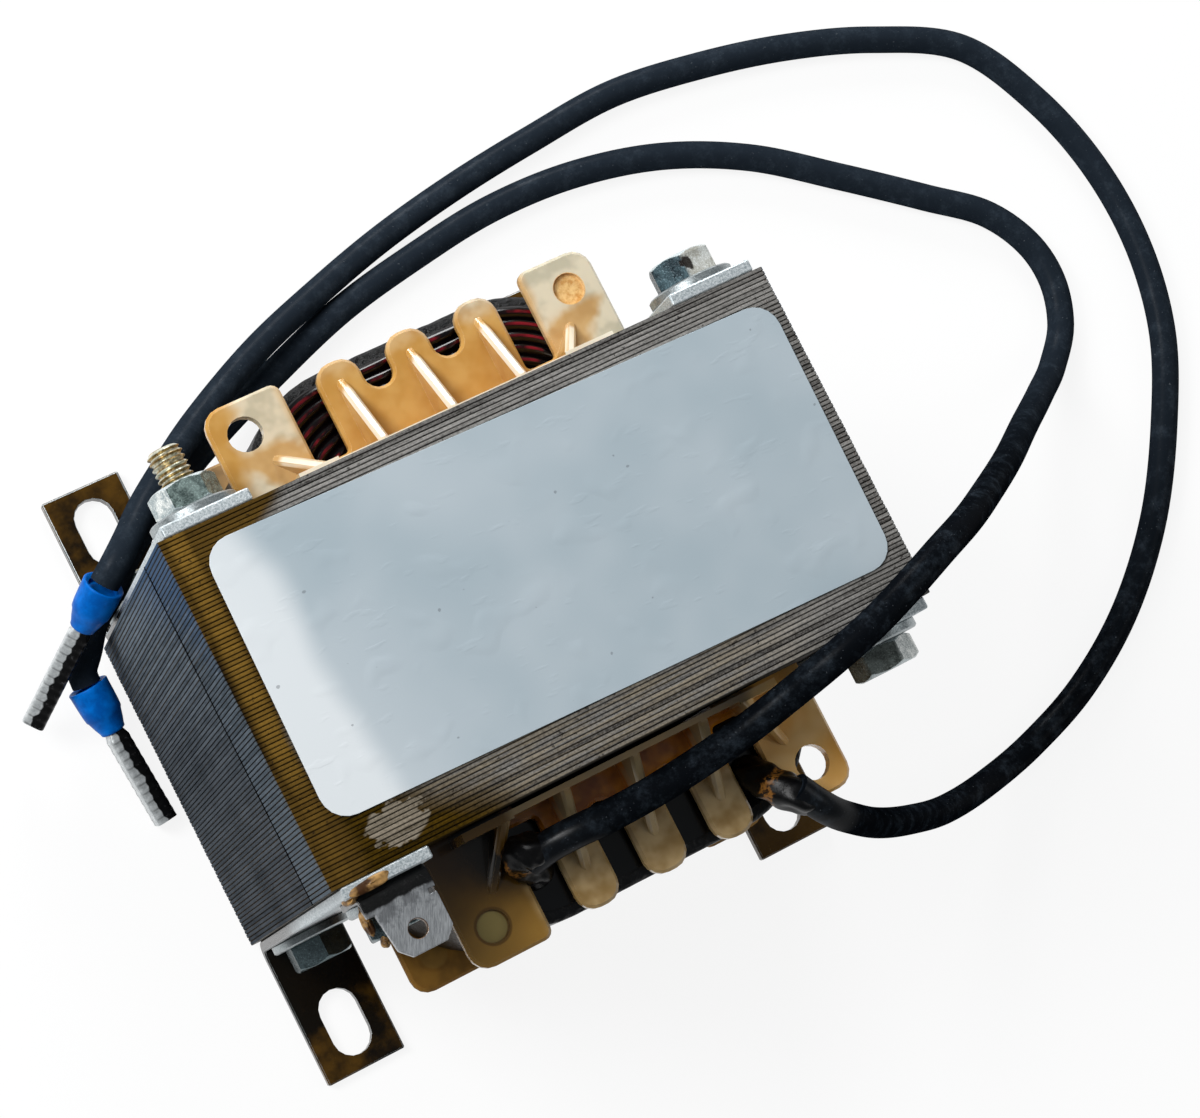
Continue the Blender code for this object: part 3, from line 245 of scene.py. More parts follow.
class Finish:
    """One material: it makes nodes and joins them from values, links and settings."""

    def __init__(self, name):
        self.material = bpy.data.materials.new(name)
        self.material.use_nodes = True
        self.tree = self.material.node_tree
        self.tree.nodes.clear()
        self.coords = None
        self.numbers = None

    def feed(self, socket, value):
        """Links a value to the socket, or sets the socket to a number, vector or colour."""
        if isinstance(value, Value):
            self.tree.links.new(value.socket, socket)
        elif socket.type == "RGBA":
            socket.default_value = (*value, 1.0)
        else:
            socket.default_value = value

    def node(self, kind, settings, inputs, output=0):
        """A node of this kind, as one of its outputs; its settings come first."""
        made = self.tree.nodes.new(kind)
        for key, value in settings.items():
            setattr(made, key, value)
        for key, value in inputs.items():
            self.feed(made.inputs[key], value)
        return Value(self, made.outputs[output])

    def parts(self, vector):
        """The three numbers of a vector."""
        made = self.node("ShaderNodeSeparateXYZ", {}, {0: vector}).socket.node
        return [Value(self, output) for output in made.outputs]

    def place(self):
        """Object coordinates in millimetres, as a vector."""
        if self.coords is None:
            inputs = {0: self.node("ShaderNodeTexCoord", {}, {}, 3), "Scale": 1 / SCALE}
            self.coords = self.node("ShaderNodeVectorMath", {"operation": "SCALE"}, inputs)
        return self.coords

    def axes(self):
        """Object coordinates in millimetres, as three values."""
        if self.numbers is None:
            self.numbers = self.parts(self.place())
        return self.numbers

    def grid(self):
        """The piece's own UV map: round it in turns, and along it in millimetres."""
        return self.parts(self.node("ShaderNodeUVMap", {"uv_map": "grid"}, {}))[:2]

    def facing(self):
        """World normal as three values."""
        return self.parts(self.node("ShaderNodeNewGeometry", {}, {}, 1))

    def apart(self, x, y):
        """Squared distance from the upright line through (x, y)."""
        dx, dy = (value - at for value, at in zip(self.axes(), (x, y)))
        return dx * dx + dy * dy

    def stretched(self, factors, vector=None):
        """Object coordinates in millimetres or another vector, each axis times its factor."""
        inputs = {0: vector or self.place(), 1: factors}
        return self.node("ShaderNodeVectorMath", {"operation": "MULTIPLY"}, inputs)

    def noise(self, scale, detail, rough, at=None, twist=0.0):
        """Noise of this scale a millimetre."""
        inputs = {"Vector": at or self.place(), "Scale": scale, "Detail": detail}
        inputs.update({"Roughness": rough, "Distortion": twist})
        return self.node("ShaderNodeTexNoise", {}, inputs)

    def random_of(self, value):
        """A random number for each whole step of the value."""
        settings = {"noise_dimensions": "1D"}
        return self.node("ShaderNodeTexWhiteNoise", settings, {"W": value.floor()})

    def mix(self, share, first, second):
        """The first colour, turned into the second by the share."""
        inputs = {0: share, 6: first, 7: second}
        return self.node("ShaderNodeMix", {"data_type": "RGBA"}, inputs, 2)

    def bump(self, height, distance, strength):
        """The normal over a height, whose step of 1 is the distance in millimetres."""
        inputs = {"Height": height, "Distance": distance * SCALE, "Strength": strength}
        return self.node("ShaderNodeBump", {}, inputs)

    def ended(self, shader):
        """Joins a shader to the material's output and returns the material."""
        output = self.tree.nodes.new("ShaderNodeOutputMaterial")
        self.tree.links.new(shader.socket, output.inputs["Surface"])
        return self.material

    def done(self, colour, rough, normal, **others):
        """The material with a Principled shader that has these sockets."""
        inputs = {"Base Color": colour, "Roughness": rough, "Normal": normal}
        for key, value in others.items():
            inputs[key.replace("_", " ").title().replace("Ior", "IOR")] = value
        return self.ended(self.node("ShaderNodeBsdfPrincipled", {}, inputs))


# Shapes


def grid_faces(rows, columns, wrap_rows, wrap_columns):
    """Corner numbers of the quads of a grid of points, wrapped along the named directions."""
    row = np.arange(rows if wrap_rows else rows - 1)
    column = np.arange(columns if wrap_columns else columns - 1)
    a, b = np.meshgrid(row, column, indexing="ij")
    down = (a + 1) % rows
    across = (b + 1) % columns
    corners = (a * columns + b, a * columns + across, down * columns + across, down * columns + b)
    return np.stack(corners, -1).reshape(-1, 4)


def surface(name, grid, wrap_rows=False, wrap_columns=True, capped=False, smooth_deg=40.0):
    """A mesh object from a grid of points (rows, columns, 3) in millimetres.

    Its UV map holds the share round each row and the distance along the rows. A capped grid
    has both ends closed by a fan to the mean of the end's row.
    """
    rows, columns = grid.shape[:2]
    points = grid.reshape(-1, 3)
    faces = grid_faces(rows, columns, wrap_rows, wrap_columns).tolist()
    if capped:
        ring = np.arange(columns)
        onward = np.roll(ring, -1)
        last = (rows - 1) * columns
        centre = np.full(columns, rows * columns)
        faces += np.stack([onward, ring, centre], -1).tolist()
        faces += np.stack([ring + last, onward + last, centre + 1], -1).tolist()
        points = np.concatenate([points, [grid[0].mean(0)], [grid[-1].mean(0)]])
    mesh = bpy.data.meshes.new(name)
    mesh.from_pydata((points * SCALE).tolist(), [], faces)
    step = np.linalg.norm(np.diff(grid.mean(1), axis=0), axis=1)
    along = np.concatenate([[0.0], np.cumsum(step)])
    loops = np.empty(len(mesh.loops), np.int32)
    mesh.loops.foreach_get("vertex_index", loops)
    row = np.minimum(loops // columns, rows - 1)
    uv = np.stack([(loops % columns) / columns, along[row]], -1).astype(np.float32)
    mesh.uv_layers.new(name="grid").data.foreach_set("uv", uv.ravel())
    shade(mesh, smooth_deg)
    mesh.validate()
    return add_object(name, mesh)


def shade(mesh, smooth_deg):
    """Smooth shading, with edges sharper than the angle left sharp."""
    mesh.shade_smooth()
    mesh.set_sharp_from_angle(angle=math.radians(smooth_deg))


def add_object(name, mesh):
    """An object of this mesh at the origin of the scene."""
    piece = bpy.data.objects.new(name, mesh)
    bpy.context.scene.collection.objects.link(piece)
    return piece


def smooth_route(points, spacing):
    """Points about one spacing apart on the centripetal spline through the route's points."""
    knots = np.array(points, float)
    knots = np.concatenate([[2 * knots[0] - knots[1]], knots, [2 * knots[-1] - knots[-2]]])
    p0, p1, p2, p3 = knots[:-3], knots[1:-2], knots[2:-1], knots[3:]
    gaps = np.sqrt(np.linalg.norm(np.diff(knots, axis=0), axis=1))[:, None]
    d1, d2, d3 = gaps[:-2], gaps[1:-1], gaps[2:]
    b1 = p2 * d1**2 - p0 * d2**2 + p1 * (2 * d1**2 + 3 * d1 * d2 + d2**2)
    b1 = b1 / (3 * d1 * (d1 + d2))
    b2 = p1 * d3**2 - p3 * d2**2 + p2 * (2 * d3**2 + 3 * d3 * d2 + d2**2)
    b2 = b2 / (3 * d3 * (d3 + d2))
    t = (np.arange(24) / 24.0)[None, :, None]
    s = 1 - t
    a0, a1, a2, a3 = (point[:, None] for point in (p1, b1, b2, p2))
    dense = a0 * s**3 + a1 * 3 * s**2 * t + a2 * 3 * s * t**2 + a3 * t**3
    dense = np.concatenate([dense.reshape(-1, 3), knots[-2:-1]])
    return evenly(dense, spacing)


def evenly(points, spacing):
    """Points about one spacing apart along a chain of points."""
    step = np.linalg.norm(np.diff(points, axis=0), axis=1)
    length = np.concatenate([[0], np.cumsum(step)])
    count = max(2, int(round(length[-1] / spacing)))
    wanted = np.linspace(0, length[-1], count + 1)
    return np.stack([np.interp(wanted, length, points[:, i]) for i in range(3)], -1)


def angles(sides):
    """Evenly spaced angles of a whole turn."""
    return 2 * np.pi * np.arange(sides) / sides


def frames_along(path, reference=LEVEL_REFERENCE):
    """Unit side and top vectors at each point of a path: side = tangent x reference."""
    tangent = np.gradient(path, axis=0)
    tangent /= np.linalg.norm(tangent, axis=1)[:, None]
    side = np.cross(tangent, np.array(reference))
    side /= np.linalg.norm(side, axis=1)[:, None]
    return side, np.cross(side, tangent)


def rings_along(path, sides, reference=LEVEL_REFERENCE):
    """Unit directions round a path: side cos(angle) + top sin(angle)."""
    side, top = frames_along(path, reference)
    angle = angles(sides)[None, :, None]
    return side[:, None] * np.cos(angle) + top[:, None] * np.sin(angle)


def tube_grid(path, radius, sides=24, reference=LEVEL_REFERENCE):
    """Circles of the given radius, one number or one for each point and angle, along a path."""
    radius = np.broadcast_to(np.asarray(radius, float), (len(path), sides))[..., None]
    return path[:, None] + radius * rings_along(path, sides, reference)


def about_y(radius, level, angle):
    """Points at a radius and a level about +Y, with angles counted from +X towards -Z."""
    return np.stack([radius * np.cos(angle), level, -radius * np.sin(angle)], -1)


def revolve_grid(profile, sides, limit=None):
    """Rows of (radius, y) points turned about +Y; the limit caps the radius at each angle."""
    profile = np.array(profile, float)
    radius = np.repeat(profile[:, :1], sides, 1)
    if limit is not None:
        radius = np.minimum(radius, limit[None])
    return about_y(radius, np.repeat(profile[:, 1:2], sides, 1), angles(sides))


def mesh_copy(name, node, width, segments):
    """A frame node's mesh with its points merged, its flat faces joined and its edges rounded."""
    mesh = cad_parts[node].data.copy()
    mesh.name = name
    mesh.materials.clear()
    bm = bmesh.new()
    bm.from_mesh(mesh)
    bmesh.ops.remove_doubles(bm, verts=bm.verts, dist=2e-6)
    bmesh.ops.dissolve_limit(bm, angle_limit=math.radians(1), verts=bm.verts, edges=bm.edges)
    bm.to_mesh(mesh)
    bm.free()
    piece = add_object(name, mesh)
    bevel = piece.modifiers.new("rounded edges", "BEVEL")
    bevel.width = width * SCALE
    bevel.segments = segments
    bevel.limit_method = "ANGLE"
    bevel.angle_limit = math.radians(30)
    bevel.harden_normals = True
    bevel.material = 1
    shade(mesh, 35)
    return piece


def hand_over(piece, nodes, slot, *materials):
    """Gives a piece its materials, its place on the body and the nodes that it stands for.

    A second material is for the rounded edges.
    """
    piece.data.materials.clear()
    for material in materials:
        piece.data.materials.append(material)
    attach(piece, BODY)
    if nodes:
        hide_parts(*nodes)


def paint(node, material):
    """Gives a frame node a new finish."""
    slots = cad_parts[node].data.materials
    slots.clear()
    slots.append(material)


# Finishes


def lead_finish(rubber):
    """Matte blue-black rubber with dust and a painted sheen, glossy with varnish for its first
    stretch.
    """
    finish = Finish("lead rubber")
    mix, noise = finish.mix, finish.noise
    along = finish.grid()[1]
    dust = noise(0.4, 5.0, 0.8)
    speck = noise(3.6, 2.0, 0.5).between(0.7, 0.75)
    grain = noise(8.0, 3.0, 0.6)
    # Dust, whose lighter colour is also a painted sheen.
    dust_and_sheen = dust.between(0.45, 0.75) * (0.4 + grain)
    # Lighter further along the lead.
    lighter_further_along = mix(along.between(70.0, 150.0), rubber, srgb(30, 37, 45))
    colour = mix(dust_and_sheen * 0.32, lighter_further_along, srgb(68, 79, 90))
    colour = mix(speck * 0.35, colour, srgb(110, 116, 122))
    varnish = along.between(9.0, 4.0)
    dust_and_sheen = dust_and_sheen * (1.0 - varnish)
    rough = (0.55 + dust_and_sheen * 0.2) * (1.0 - varnish * 0.7)
    normal = finish.bump(grain + speck * 2.0, 0.04, 0.35)
    sheen = finish.facing()[2].between(0.5, 0.9) * (0.04 + dust_and_sheen * 0.06)
    return finish.done(
        colour, rough, normal, specular_ior_level=0.0, coat_weight=varnish * 0.25 + sheen,
        coat_roughness=0.3,
    )


def core_finish():
    """Stacked sheet edges: grey-brown on top with olive varnish to the left, slate at the ends."""
    finish = Finish("core sheets")
    mix, noise = finish.mix, finish.noise
    x, y, z = finish.axes()
    side = finish.facing()[0].absolute().between(0.5, 0.8)
    sheet = (y + CORE_Y) * (1.0 / SHEET_PITCH)
    tone = finish.random_of(sheet)
    edge = (sheet.fraction() - 0.5).absolute()
    seam = edge.between(0.24, 0.42)
    streak = noise(1.0, 4.0, 0.6, at=finish.stretched((0.22, 4.0, 0.22)))
    grain = noise(3.6, 4.0, 0.7)
    patch = noise(0.11, 2.0, 0.5)
    light = 0.42 + (tone - 0.5) * 0.4 + (streak - 0.5) * 1.2 + (grain - 0.5) * 1.3
    steel = mix(light, srgb(60, 58, 56), srgb(166, 164, 160))
    # Varnish stain and painted shade darken the front; the back stays grey.
    stain_and_shade = mix(light, srgb(48, 40, 30), srgb(150, 138, 116))
    stained_and_shaded = (y + (patch - 0.5) * 16.0).between(4.0, -12.0) * streak.between(0.35, 0.6)
    stained_and_shaded = stained_and_shaded * x.between(26.0, 8.0)
    top = mix(stained_and_shaded * 0.8, steel, stain_and_shade)
    # The strip left of the label, both left corners and the front left are under pooled varnish.
    wave = (patch - 0.5) * 4.0
    left = (x + wave).between(-28.2, -30.2)
    behind = (y - x * 0.9 + wave * 1.2).between(34.5, 37.0)
    left = left.largest(behind)
    corner = (y * -1.0 + x * -0.55 + wave * 1.6).between(21.5, 27.5)
    across = (x + 31.2 + wave * 0.15).absolute().between(1.8, 0.4)
    across = across.largest(corner * 0.8).largest(behind * 0.45)
    bright = across * (0.25 + tone * 0.3 + grain * 0.75) * (0.62 - corner * 0.25)
    olive = mix(bright, srgb(28, 19, 6), srgb(158, 121, 50))
    drab = mix(light, srgb(30, 22, 4), srgb(84, 63, 16))
    top = mix(corner.largest(left), top, mix(left, drab, olive))
    # A dry patch in front of the label's left corner.
    ragged = noise(0.7, 3.0, 0.6)
    right, behind_patch = x - DRY_PATCH[0], y - DRY_PATCH[1]
    dx = (right + (ragged - 0.5) * 4.5) * 0.42
    dy = (behind_patch + (ragged - 0.5) * 3.0 + right * 0.1) * 0.62
    far = (dx * dx + dy * dy) ** 0.5
    top = mix(far.between(1.3, 1.12) * 0.9, top, mix(light, srgb(92, 84, 70), srgb(164, 154, 138)))
    # Rust spots towards the right edge.
    rust = grain.between(0.58, 0.65) * (x + (patch - 0.5) * 10.0).between(24.0, 32.0)
    top = mix(rust * 0.85, top, srgb(54, 26, 18))
    pit = noise(1.7, 2.0, 0.5).between(0.68, 0.72)
    top = mix(pit * 0.7, top, srgb(22, 18, 16))
    # Ends: slate blue above the joint, charcoal below, bluest at the back top.
    shade = noise(0.07, 2.0, 0.5)
    upper = mix(light, srgb(52, 60, 67), srgb(98, 107, 116))
    upper = mix(y.between(6.0, -16.0) * 0.4, upper, srgb(96, 105, 113))
    lower = mix(light * 0.5 + shade - 0.25, srgb(36, 41, 46), srgb(92, 98, 105))
    # Paler towards the back and up: painted light.
    paler = mix(light, srgb(58, 66, 74), srgb(116, 126, 136))
    lower = mix((y + z * 0.2).between(0.0, 24.0), lower, paler)
    end = mix(z.between(45.0, 45.8), lower, upper)
    blue = (y * 1.2 + z * 0.5 + (shade - 0.5) * 8.0).between(30.0, 46.0)
    end = mix(blue * 0.6, end, srgb(54, 82, 116))
    dry = streak.between(0.62, 0.7) * z.between(30.0, 56.0) * 0.5
    end = mix(dry, end, srgb(120, 130, 140))
    colour = mix(side, top, end)
    seam_share = seam * (0.5 + side * -0.28 + left * -0.05 + (1.0 - tone) * 0.35)
    colour = mix(seam_share, colour, mix(side, srgb(14, 12, 10), srgb(6, 7, 9)))
    rough = 0.5 + (grain - 0.5) * 0.3 - left * 0.2 - corner * 0.12
    height = grain * 0.5 + streak * 0.3 - seam * 0.7
    normal = finish.bump(height, 0.07, 0.7)
    return finish.done(
        colour, rough, normal, metallic=(1.0 - side) * 0.15,
        coat_weight=left * (1.0 - side) * 0.25, coat_roughness=0.2, specular_ior_level=0.0,
    )


def label_finish(film):
    """Pale blue-grey film with a painted reflection whitening it to the left, soft blisters and a
    few specks.
    """
    finish = Finish("label film")
    mix, noise = finish.mix, finish.noise
    x, y, _ = finish.axes()
    cloud = noise(0.07, 2.0, 0.5)
    colour = mix(cloud.between(0.3, 0.7), srgb(158, 172, 180), film)
    # Painted reflection: whiter towards the left end.
    painted_reflection = (x + y * 0.14 + (cloud - 0.5) * 5.0).between(-22.0, -25.5) * 0.75
    painted_reflection = painted_reflection + (x + y * 0.4 + (cloud - 0.5) * 10.0).between(-17.0, -27.0) * 0.2
    colour = mix(painted_reflection, colour, srgb(214, 219, 222))
    speck = noise(1.3, 0.0, 0.5).between(0.86, 0.87)
    colour = mix(speck * 0.5, colour, srgb(96, 100, 106))
    blister = noise(0.26, 1.0, 0.4, twist=0.3).between(0.55, 0.78)
    fold = noise(0.9, 2.0, 0.5, at=finish.stretched((0.35, 1.0, 1.0))).between(0.62, 0.75)
    normal = finish.bump(blister + fold * 0.3, 0.14, 0.3)
    return finish.done(colour, 0.36 + cloud * 0.08, normal)


def strip_finish(name, worn):
    """Galvanised strip: frosted at the top, under golden brown varnish towards the feet."""
    finish = Finish(name)
    mix, noise = finish.mix, finish.noise
    x, y, z = finish.axes()
    grain = noise(4.5, 4.0, 0.7)
    cloud = noise(0.3, 3.0, 0.6)
    patch = noise(0.13, 2.0, 0.5)
    frost = mix(grain.between(0.32, 0.68), srgb(156, 168, 173), srgb(230, 236, 238))
    dull = (y * -1.0 - x * 0.5 + z * 0.4 + cloud * 6.0).between(48.0, 60.0) * 0.18
    frost = mix(dull, frost, srgb(96, 104, 108))
    # The feet: almost black near the legs in front, golden towards the tips and at the back.
    out = y.absolute().between(20.0, 34.0)
    # The front right foot also gets a painted highlight in gold.
    gold_and_highlight = out * 0.75 + y.between(6.0, -6.0) * x.between(0.0, 20.0) * 0.5
    gold_and_highlight = (gold_and_highlight + (cloud - 0.5) * 1.5 + (patch - 0.5)).between(0.35, 1.1)
    brown = mix(gold_and_highlight, srgb(12, 7, 2), srgb(84, 58, 14))
    brown = mix(grain.between(0.66, 0.72) * gold_and_highlight * 0.6, brown, srgb(150, 124, 70))
    wet = (z + (cloud - 0.5) * 10.0).between(34.0, 14.0) * (1.0 - worn * 0.7)
    colour = mix(wet, frost, brown)
    rough = 0.46 - wet * 0.28 + (grain - 0.5) * 0.22
    normal = finish.bump(grain + cloud * 2.0, 0.05, 0.4)
    return finish.done(colour, rough, normal, metallic=0.6 - wet * 0.55, specular_ior_level=0.25)


def hex_finish(name, dark, light, shine, bright_from, bright_to):
    """Zinc on a hexagon: flats turned past bright_from towards bright_to get a painted highlight.
    """
    finish = Finish(name)
    mix, noise = finish.mix, finish.noise
    turned, along, _ = finish.facing()
    cloud = noise(0.8, 3.0, 0.65)
    pit = noise(5.0, 3.0, 0.6)
    # Painted highlight on the flats facing the light, and painted reflections in the mottle with
    # the zinc's own mottling.
    bright = turned.between(bright_from, bright_to)
    mottle_and_reflection = cloud.between(0.4, 0.64) * 0.6 + pit.between(0.3, 0.7) * 0.4
    colour = mix(mottle_and_reflection, dark, light)
    colour = mix(bright, colour, mix(mottle_and_reflection, shine, srgb(240, 242, 238)))
    # Painted highlight on the chamfers.
    edge = along.absolute().between(0.2, 0.5) * along.absolute().between(0.97, 0.9)
    colour = mix(edge * 0.8, colour, srgb(206, 216, 218))
    dx, dy, dz = (value - at for value, at in zip(finish.axes(), RUST_SPOT))
    spot = (dx * dx + dy * dy * 0.6 + dz * dz + (cloud - 0.5)).between(0.5, 0.3)
    colour = mix(spot * 0.95, colour, srgb(24, 14, 6))
    normal = finish.bump(pit + cloud * 2.0, 0.06, 0.6)
    return finish.done(colour, 0.26 + (pit - 0.5) * 0.2, normal, metallic=0.3)


def zinc_finish(name, dark, light, rough_level, tint):
    """Zinc plating with a fine frosted grain and darker patches."""
    finish = Finish(name)
    mix, noise = finish.mix, finish.noise
    cloud = noise(0.9, 3.0, 0.6)
    pit = noise(7.0, 3.0, 0.6)
    colour = mix(cloud * 0.5 + pit.between(0.35, 0.65) * 0.5, dark, light)
    colour = mix(cloud.between(0.62, 0.72) * 0.5, colour, tint)
    rough = rough_level + (pit - 0.5) * 0.25
    normal = finish.bump(pit + cloud, 0.04, 0.5)
    return finish.done(colour, rough, normal, metallic=0.85)


def thread_finish():
    """Silver crests with amber varnish in the grooves between them."""
    finish = Finish("thread steel")
    mix, noise = finish.mix, finish.noise
    around, along = finish.grid()
    fine = noise(3.0, 3.0, 0.6)
    phase = (along * (1.0 / THREAD_PITCH) - around).fraction()
    groove = (phase - 0.5).absolute().between(0.2, 0.36)
    colour = mix(fine.between(0.35, 0.65), srgb(168, 168, 146), srgb(232, 232, 216))
    amber = mix(fine.between(0.4, 0.7), srgb(110, 78, 14), srgb(196, 160, 74))
    colour = mix(groove * 0.9, colour, amber)
    normal = finish.bump(fine, 0.03, 0.3)
    return finish.done(colour, 0.24 + fine * 0.1, normal, metallic=0.7)


def tab_finish():
    """Tinned brass blade with slanting scratches, painted shadow in black on its bend and painted
    shade towards its root.
    """
    finish = Finish("tab tin")
    mix, noise = finish.mix, finish.noise
    y = finish.axes()[1]
    one = noise(1.6, 4.0, 0.7, at=finish.stretched((6.0, 0.5, 1.0)))
    inputs = {"Vector": finish.place(), "Angle": 0.5}
    slant = finish.node("ShaderNodeVectorRotate", {"rotation_type": "Z_AXIS"}, inputs)
    two = noise(1.2, 4.0, 0.7, at=finish.stretched((9.0, 0.5, 1.0), slant))
    cloud = noise(0.8, 3.0, 0.6)
    colour = mix(one * 0.5 + two.between(0.4, 0.62) * 0.5, srgb(112, 115, 118), srgb(196, 199, 202))
    colour = mix(two.between(0.62, 0.68) * 0.6, colour, srgb(58, 58, 62))
    # Painted shade: darker towards the root.
    colour = mix((cloud + y * 0.08).between(-1.35, -1.15) * 0.55, colour, srgb(62, 64, 68))
    # Painted shadow: black along the bend.
    black = (y + (cloud - 0.5) * 0.8).between(-21.35, -21.0)
    amber = finish.apart(*BLADE_HOLE).between(1.05, 0.9)
    colour = mix(black, colour, srgb(4, 4, 4))
    colour = mix(amber, colour, srgb(84, 54, 14))
    normal = finish.bump(one + two, 0.03, 0.5)
    return finish.done(
        colour, 0.36 + (cloud - 0.5) * 0.3 - black * 0.15, normal, metallic=0.7 - black * 0.6,
    )


def bobbin_finish(name, nylon, rim_highlight):
    """Amber nylon under varnish: milky on the back lugs and tips, olive and darker in front, with
    painted shade in front and painted highlights on the rib crests and edges.
    """
    finish = Finish(name)
    mix, noise = finish.mix, finish.noise
    x, y, z = finish.axes()
    cloud = noise(0.13, 2.0, 0.5, twist=0.5)
    soft = noise(0.4, 2.0, 0.5)
    fine = noise(2.2, 3.0, 0.6)
    reach = y.absolute()
    aside = x.absolute()
    lug = aside.between(12.6, 14.2)
    behind = y.between(-4.0, 4.0)
    # Varnish gathers beside each lug's slanting rib.
    across = (aside - 13.4) * 0.74 - (reach - 18.7) * 0.67
    pool = (across.absolute() + (soft - 0.5) * 2.6).between(3.0, 1.6)
    pool = pool * (reach + (soft - 0.5) * 2.0).between(24.8, 23.2)
    amber = mix(soft.between(0.3, 0.7), srgb(182, 134, 64), nylon)
    cream = mix(soft.between(0.35, 0.6), srgb(186, 180, 158), srgb(214, 204, 180))
    drift = (cloud - 0.5) * 8.0
    milk = (x + drift).between(-21.0, -18.6) * x.between(0.0, -2.0) * 0.85
    milk = milk + (x + drift * 0.3).between(12.9, 14.4) * 0.95
    milk = lug * (1.0 - pool * 0.8) * milk
    tips = (1.0 - lug) * (reach + (soft - 0.5) * 3.0).between(26.4, 28.8)
    tips = tips * (0.2 + x.between(0.0, 8.0) * 0.6)
    back = mix(milk.largest(tips), amber, cream)
    # Painted highlight on the rib crests, which are also paler.
    crest = z.between(45.6, 46.2) * finish.facing()[2].between(0.35, 0.65)
    back = mix(crest * 0.8, back, srgb(236, 228, 210))
    inside = finish.apart(*BACK_DIMPLE).between(3.1, 2.5)
    dimple = mix(fine.between(0.3, 0.7), srgb(206, 148, 70), srgb(236, 196, 128))
    back = mix(inside * 0.9, back, dimple)
    # In front the tips are dull honey and the pockets between the ribs deep amber, partly painted
    # shade.
    beige = mix(soft.between(0.3, 0.7), srgb(140, 112, 66), srgb(182, 156, 112))
    honey = mix(soft.between(0.35, 0.65), srgb(146, 82, 6), srgb(196, 126, 26))
    front = mix((reach + (soft - 0.5) * 3.0).between(22.0, 24.5), honey, beige)
    front = mix(z.between(45.7, 46.6) * reach.between(19.0, 20.2) * 0.7, front, srgb(176, 156, 120))
    front = mix(z.between(47.6, 47.9) * 0.8, front, srgb(150, 136, 104))
    # The front left lug darkens towards the core: dark varnish with painted shade.
    olive = (reach + (cloud - 0.5) * 6.0).between(24.0, 30.0)
    olive = mix(olive, srgb(92, 64, 12), srgb(150, 112, 46))
    bright = mix(cloud.between(0.3, 0.7), srgb(206, 150, 68), srgb(230, 192, 130))
    front = mix(lug, front, mix(x.between(-2.0, 2.0), olive, bright))
    # Near the sleeve the front left lug is nearly black: dark varnish and painted shade.
    stain_and_shade = (x * -1.0 + (soft - 0.5) * 3.0).between(12.0, 13.2)
    stain_and_shade = stain_and_shade * (reach - x * 0.5 + (soft - 0.5) * 3.0).between(34.5, 30.0)
    dark_varnish_and_shade = mix(x.between(-16.0, -19.5), srgb(10, 5, 1), srgb(56, 34, 6))
    front = mix(stain_and_shade * 0.96 * z.between(47.9, 47.6), front, dark_varnish_and_shade)
    # A painted shade ring round the front dimple, pale olive inside it.
    apart = finish.apart(*FRONT_DIMPLE)
    front = mix(apart.between(3.9, 3.2) * 0.7, front, srgb(74, 48, 8))
    front = mix(apart.between(2.6, 2.0) * 0.85, front, srgb(154, 138, 82))
    colour = mix(behind, front, back)
    low = mix(soft.between(0.3, 0.7), srgb(100, 66, 8), srgb(146, 102, 30))
    colour = mix(z.between(36.0, 20.0) * 0.85, colour, low)
    # Painted highlight on the upper rounded edges.
    rim_colour = mix(behind, srgb(196, 172, 130), srgb(246, 228, 192))
    colour = mix(rim_highlight * z.between(30.0, 42.0), colour, rim_colour)
    rough = 0.16 + fine * 0.12 + z.between(40.0, 30.0) * 0.4
    normal = finish.bump(fine * 0.3 + soft * 1.5, 0.1, 0.25)
    return finish.done(
        colour, rough, normal, subsurface_weight=0.06, subsurface_radius=(1.0, 0.5, 0.2),
        subsurface_scale=0.001, coat_weight=z.between(40.0, 44.0) * 0.35, coat_roughness=0.05,
        specular_ior_level=0.3,
    )


def enamel_finish(wire):
    """Dark red enamelled wire shown near black with painted red glints on its crests, and black
    tape over its front.
    """
    finish = Finish("wire enamel")
    mix, noise = finish.mix, finish.noise
    y = finish.axes()[1]
    fine = noise(0.35, 2.0, 0.6)
    # Painted glints: the wire's red shows only on the up-facing crests.
    crest = finish.facing()[2].between(0.9, 0.985)
    red = mix(crest * fine.between(0.42, 0.66), srgb(5, 2, 3), wire)
    black = y.between(4.0, 0.0)
    colour = mix(black, red, srgb(2, 3, 5))
    normal = finish.bump(fine, 0.05, 0.3)
    return finish.done(colour, 0.14 + fine * 0.1, normal, specular_ior_level=0.35)


def wrap_finish():
    """Black wrap: crinkled at the back, smooth and glossy at the front."""
    finish = Finish("black wrap")
    mix, noise = finish.mix, finish.noise
    y = finish.axes()[1]
    crinkle = noise(1.3, 4.0, 0.65)
    crease = noise(0.5, 3.0, 0.6, twist=1.5)
    back = y.between(-2.0, 3.0)
    colour = mix(crinkle.between(0.45, 0.75), srgb(2, 3, 5), srgb(10, 12, 16))
    normal = finish.bump(crease * 2.0 + back * crinkle * 4.0, 0.2, 0.6)
    return finish.done(colour, 0.26 + crinkle * 0.2, normal, specular_ior_level=0.25)


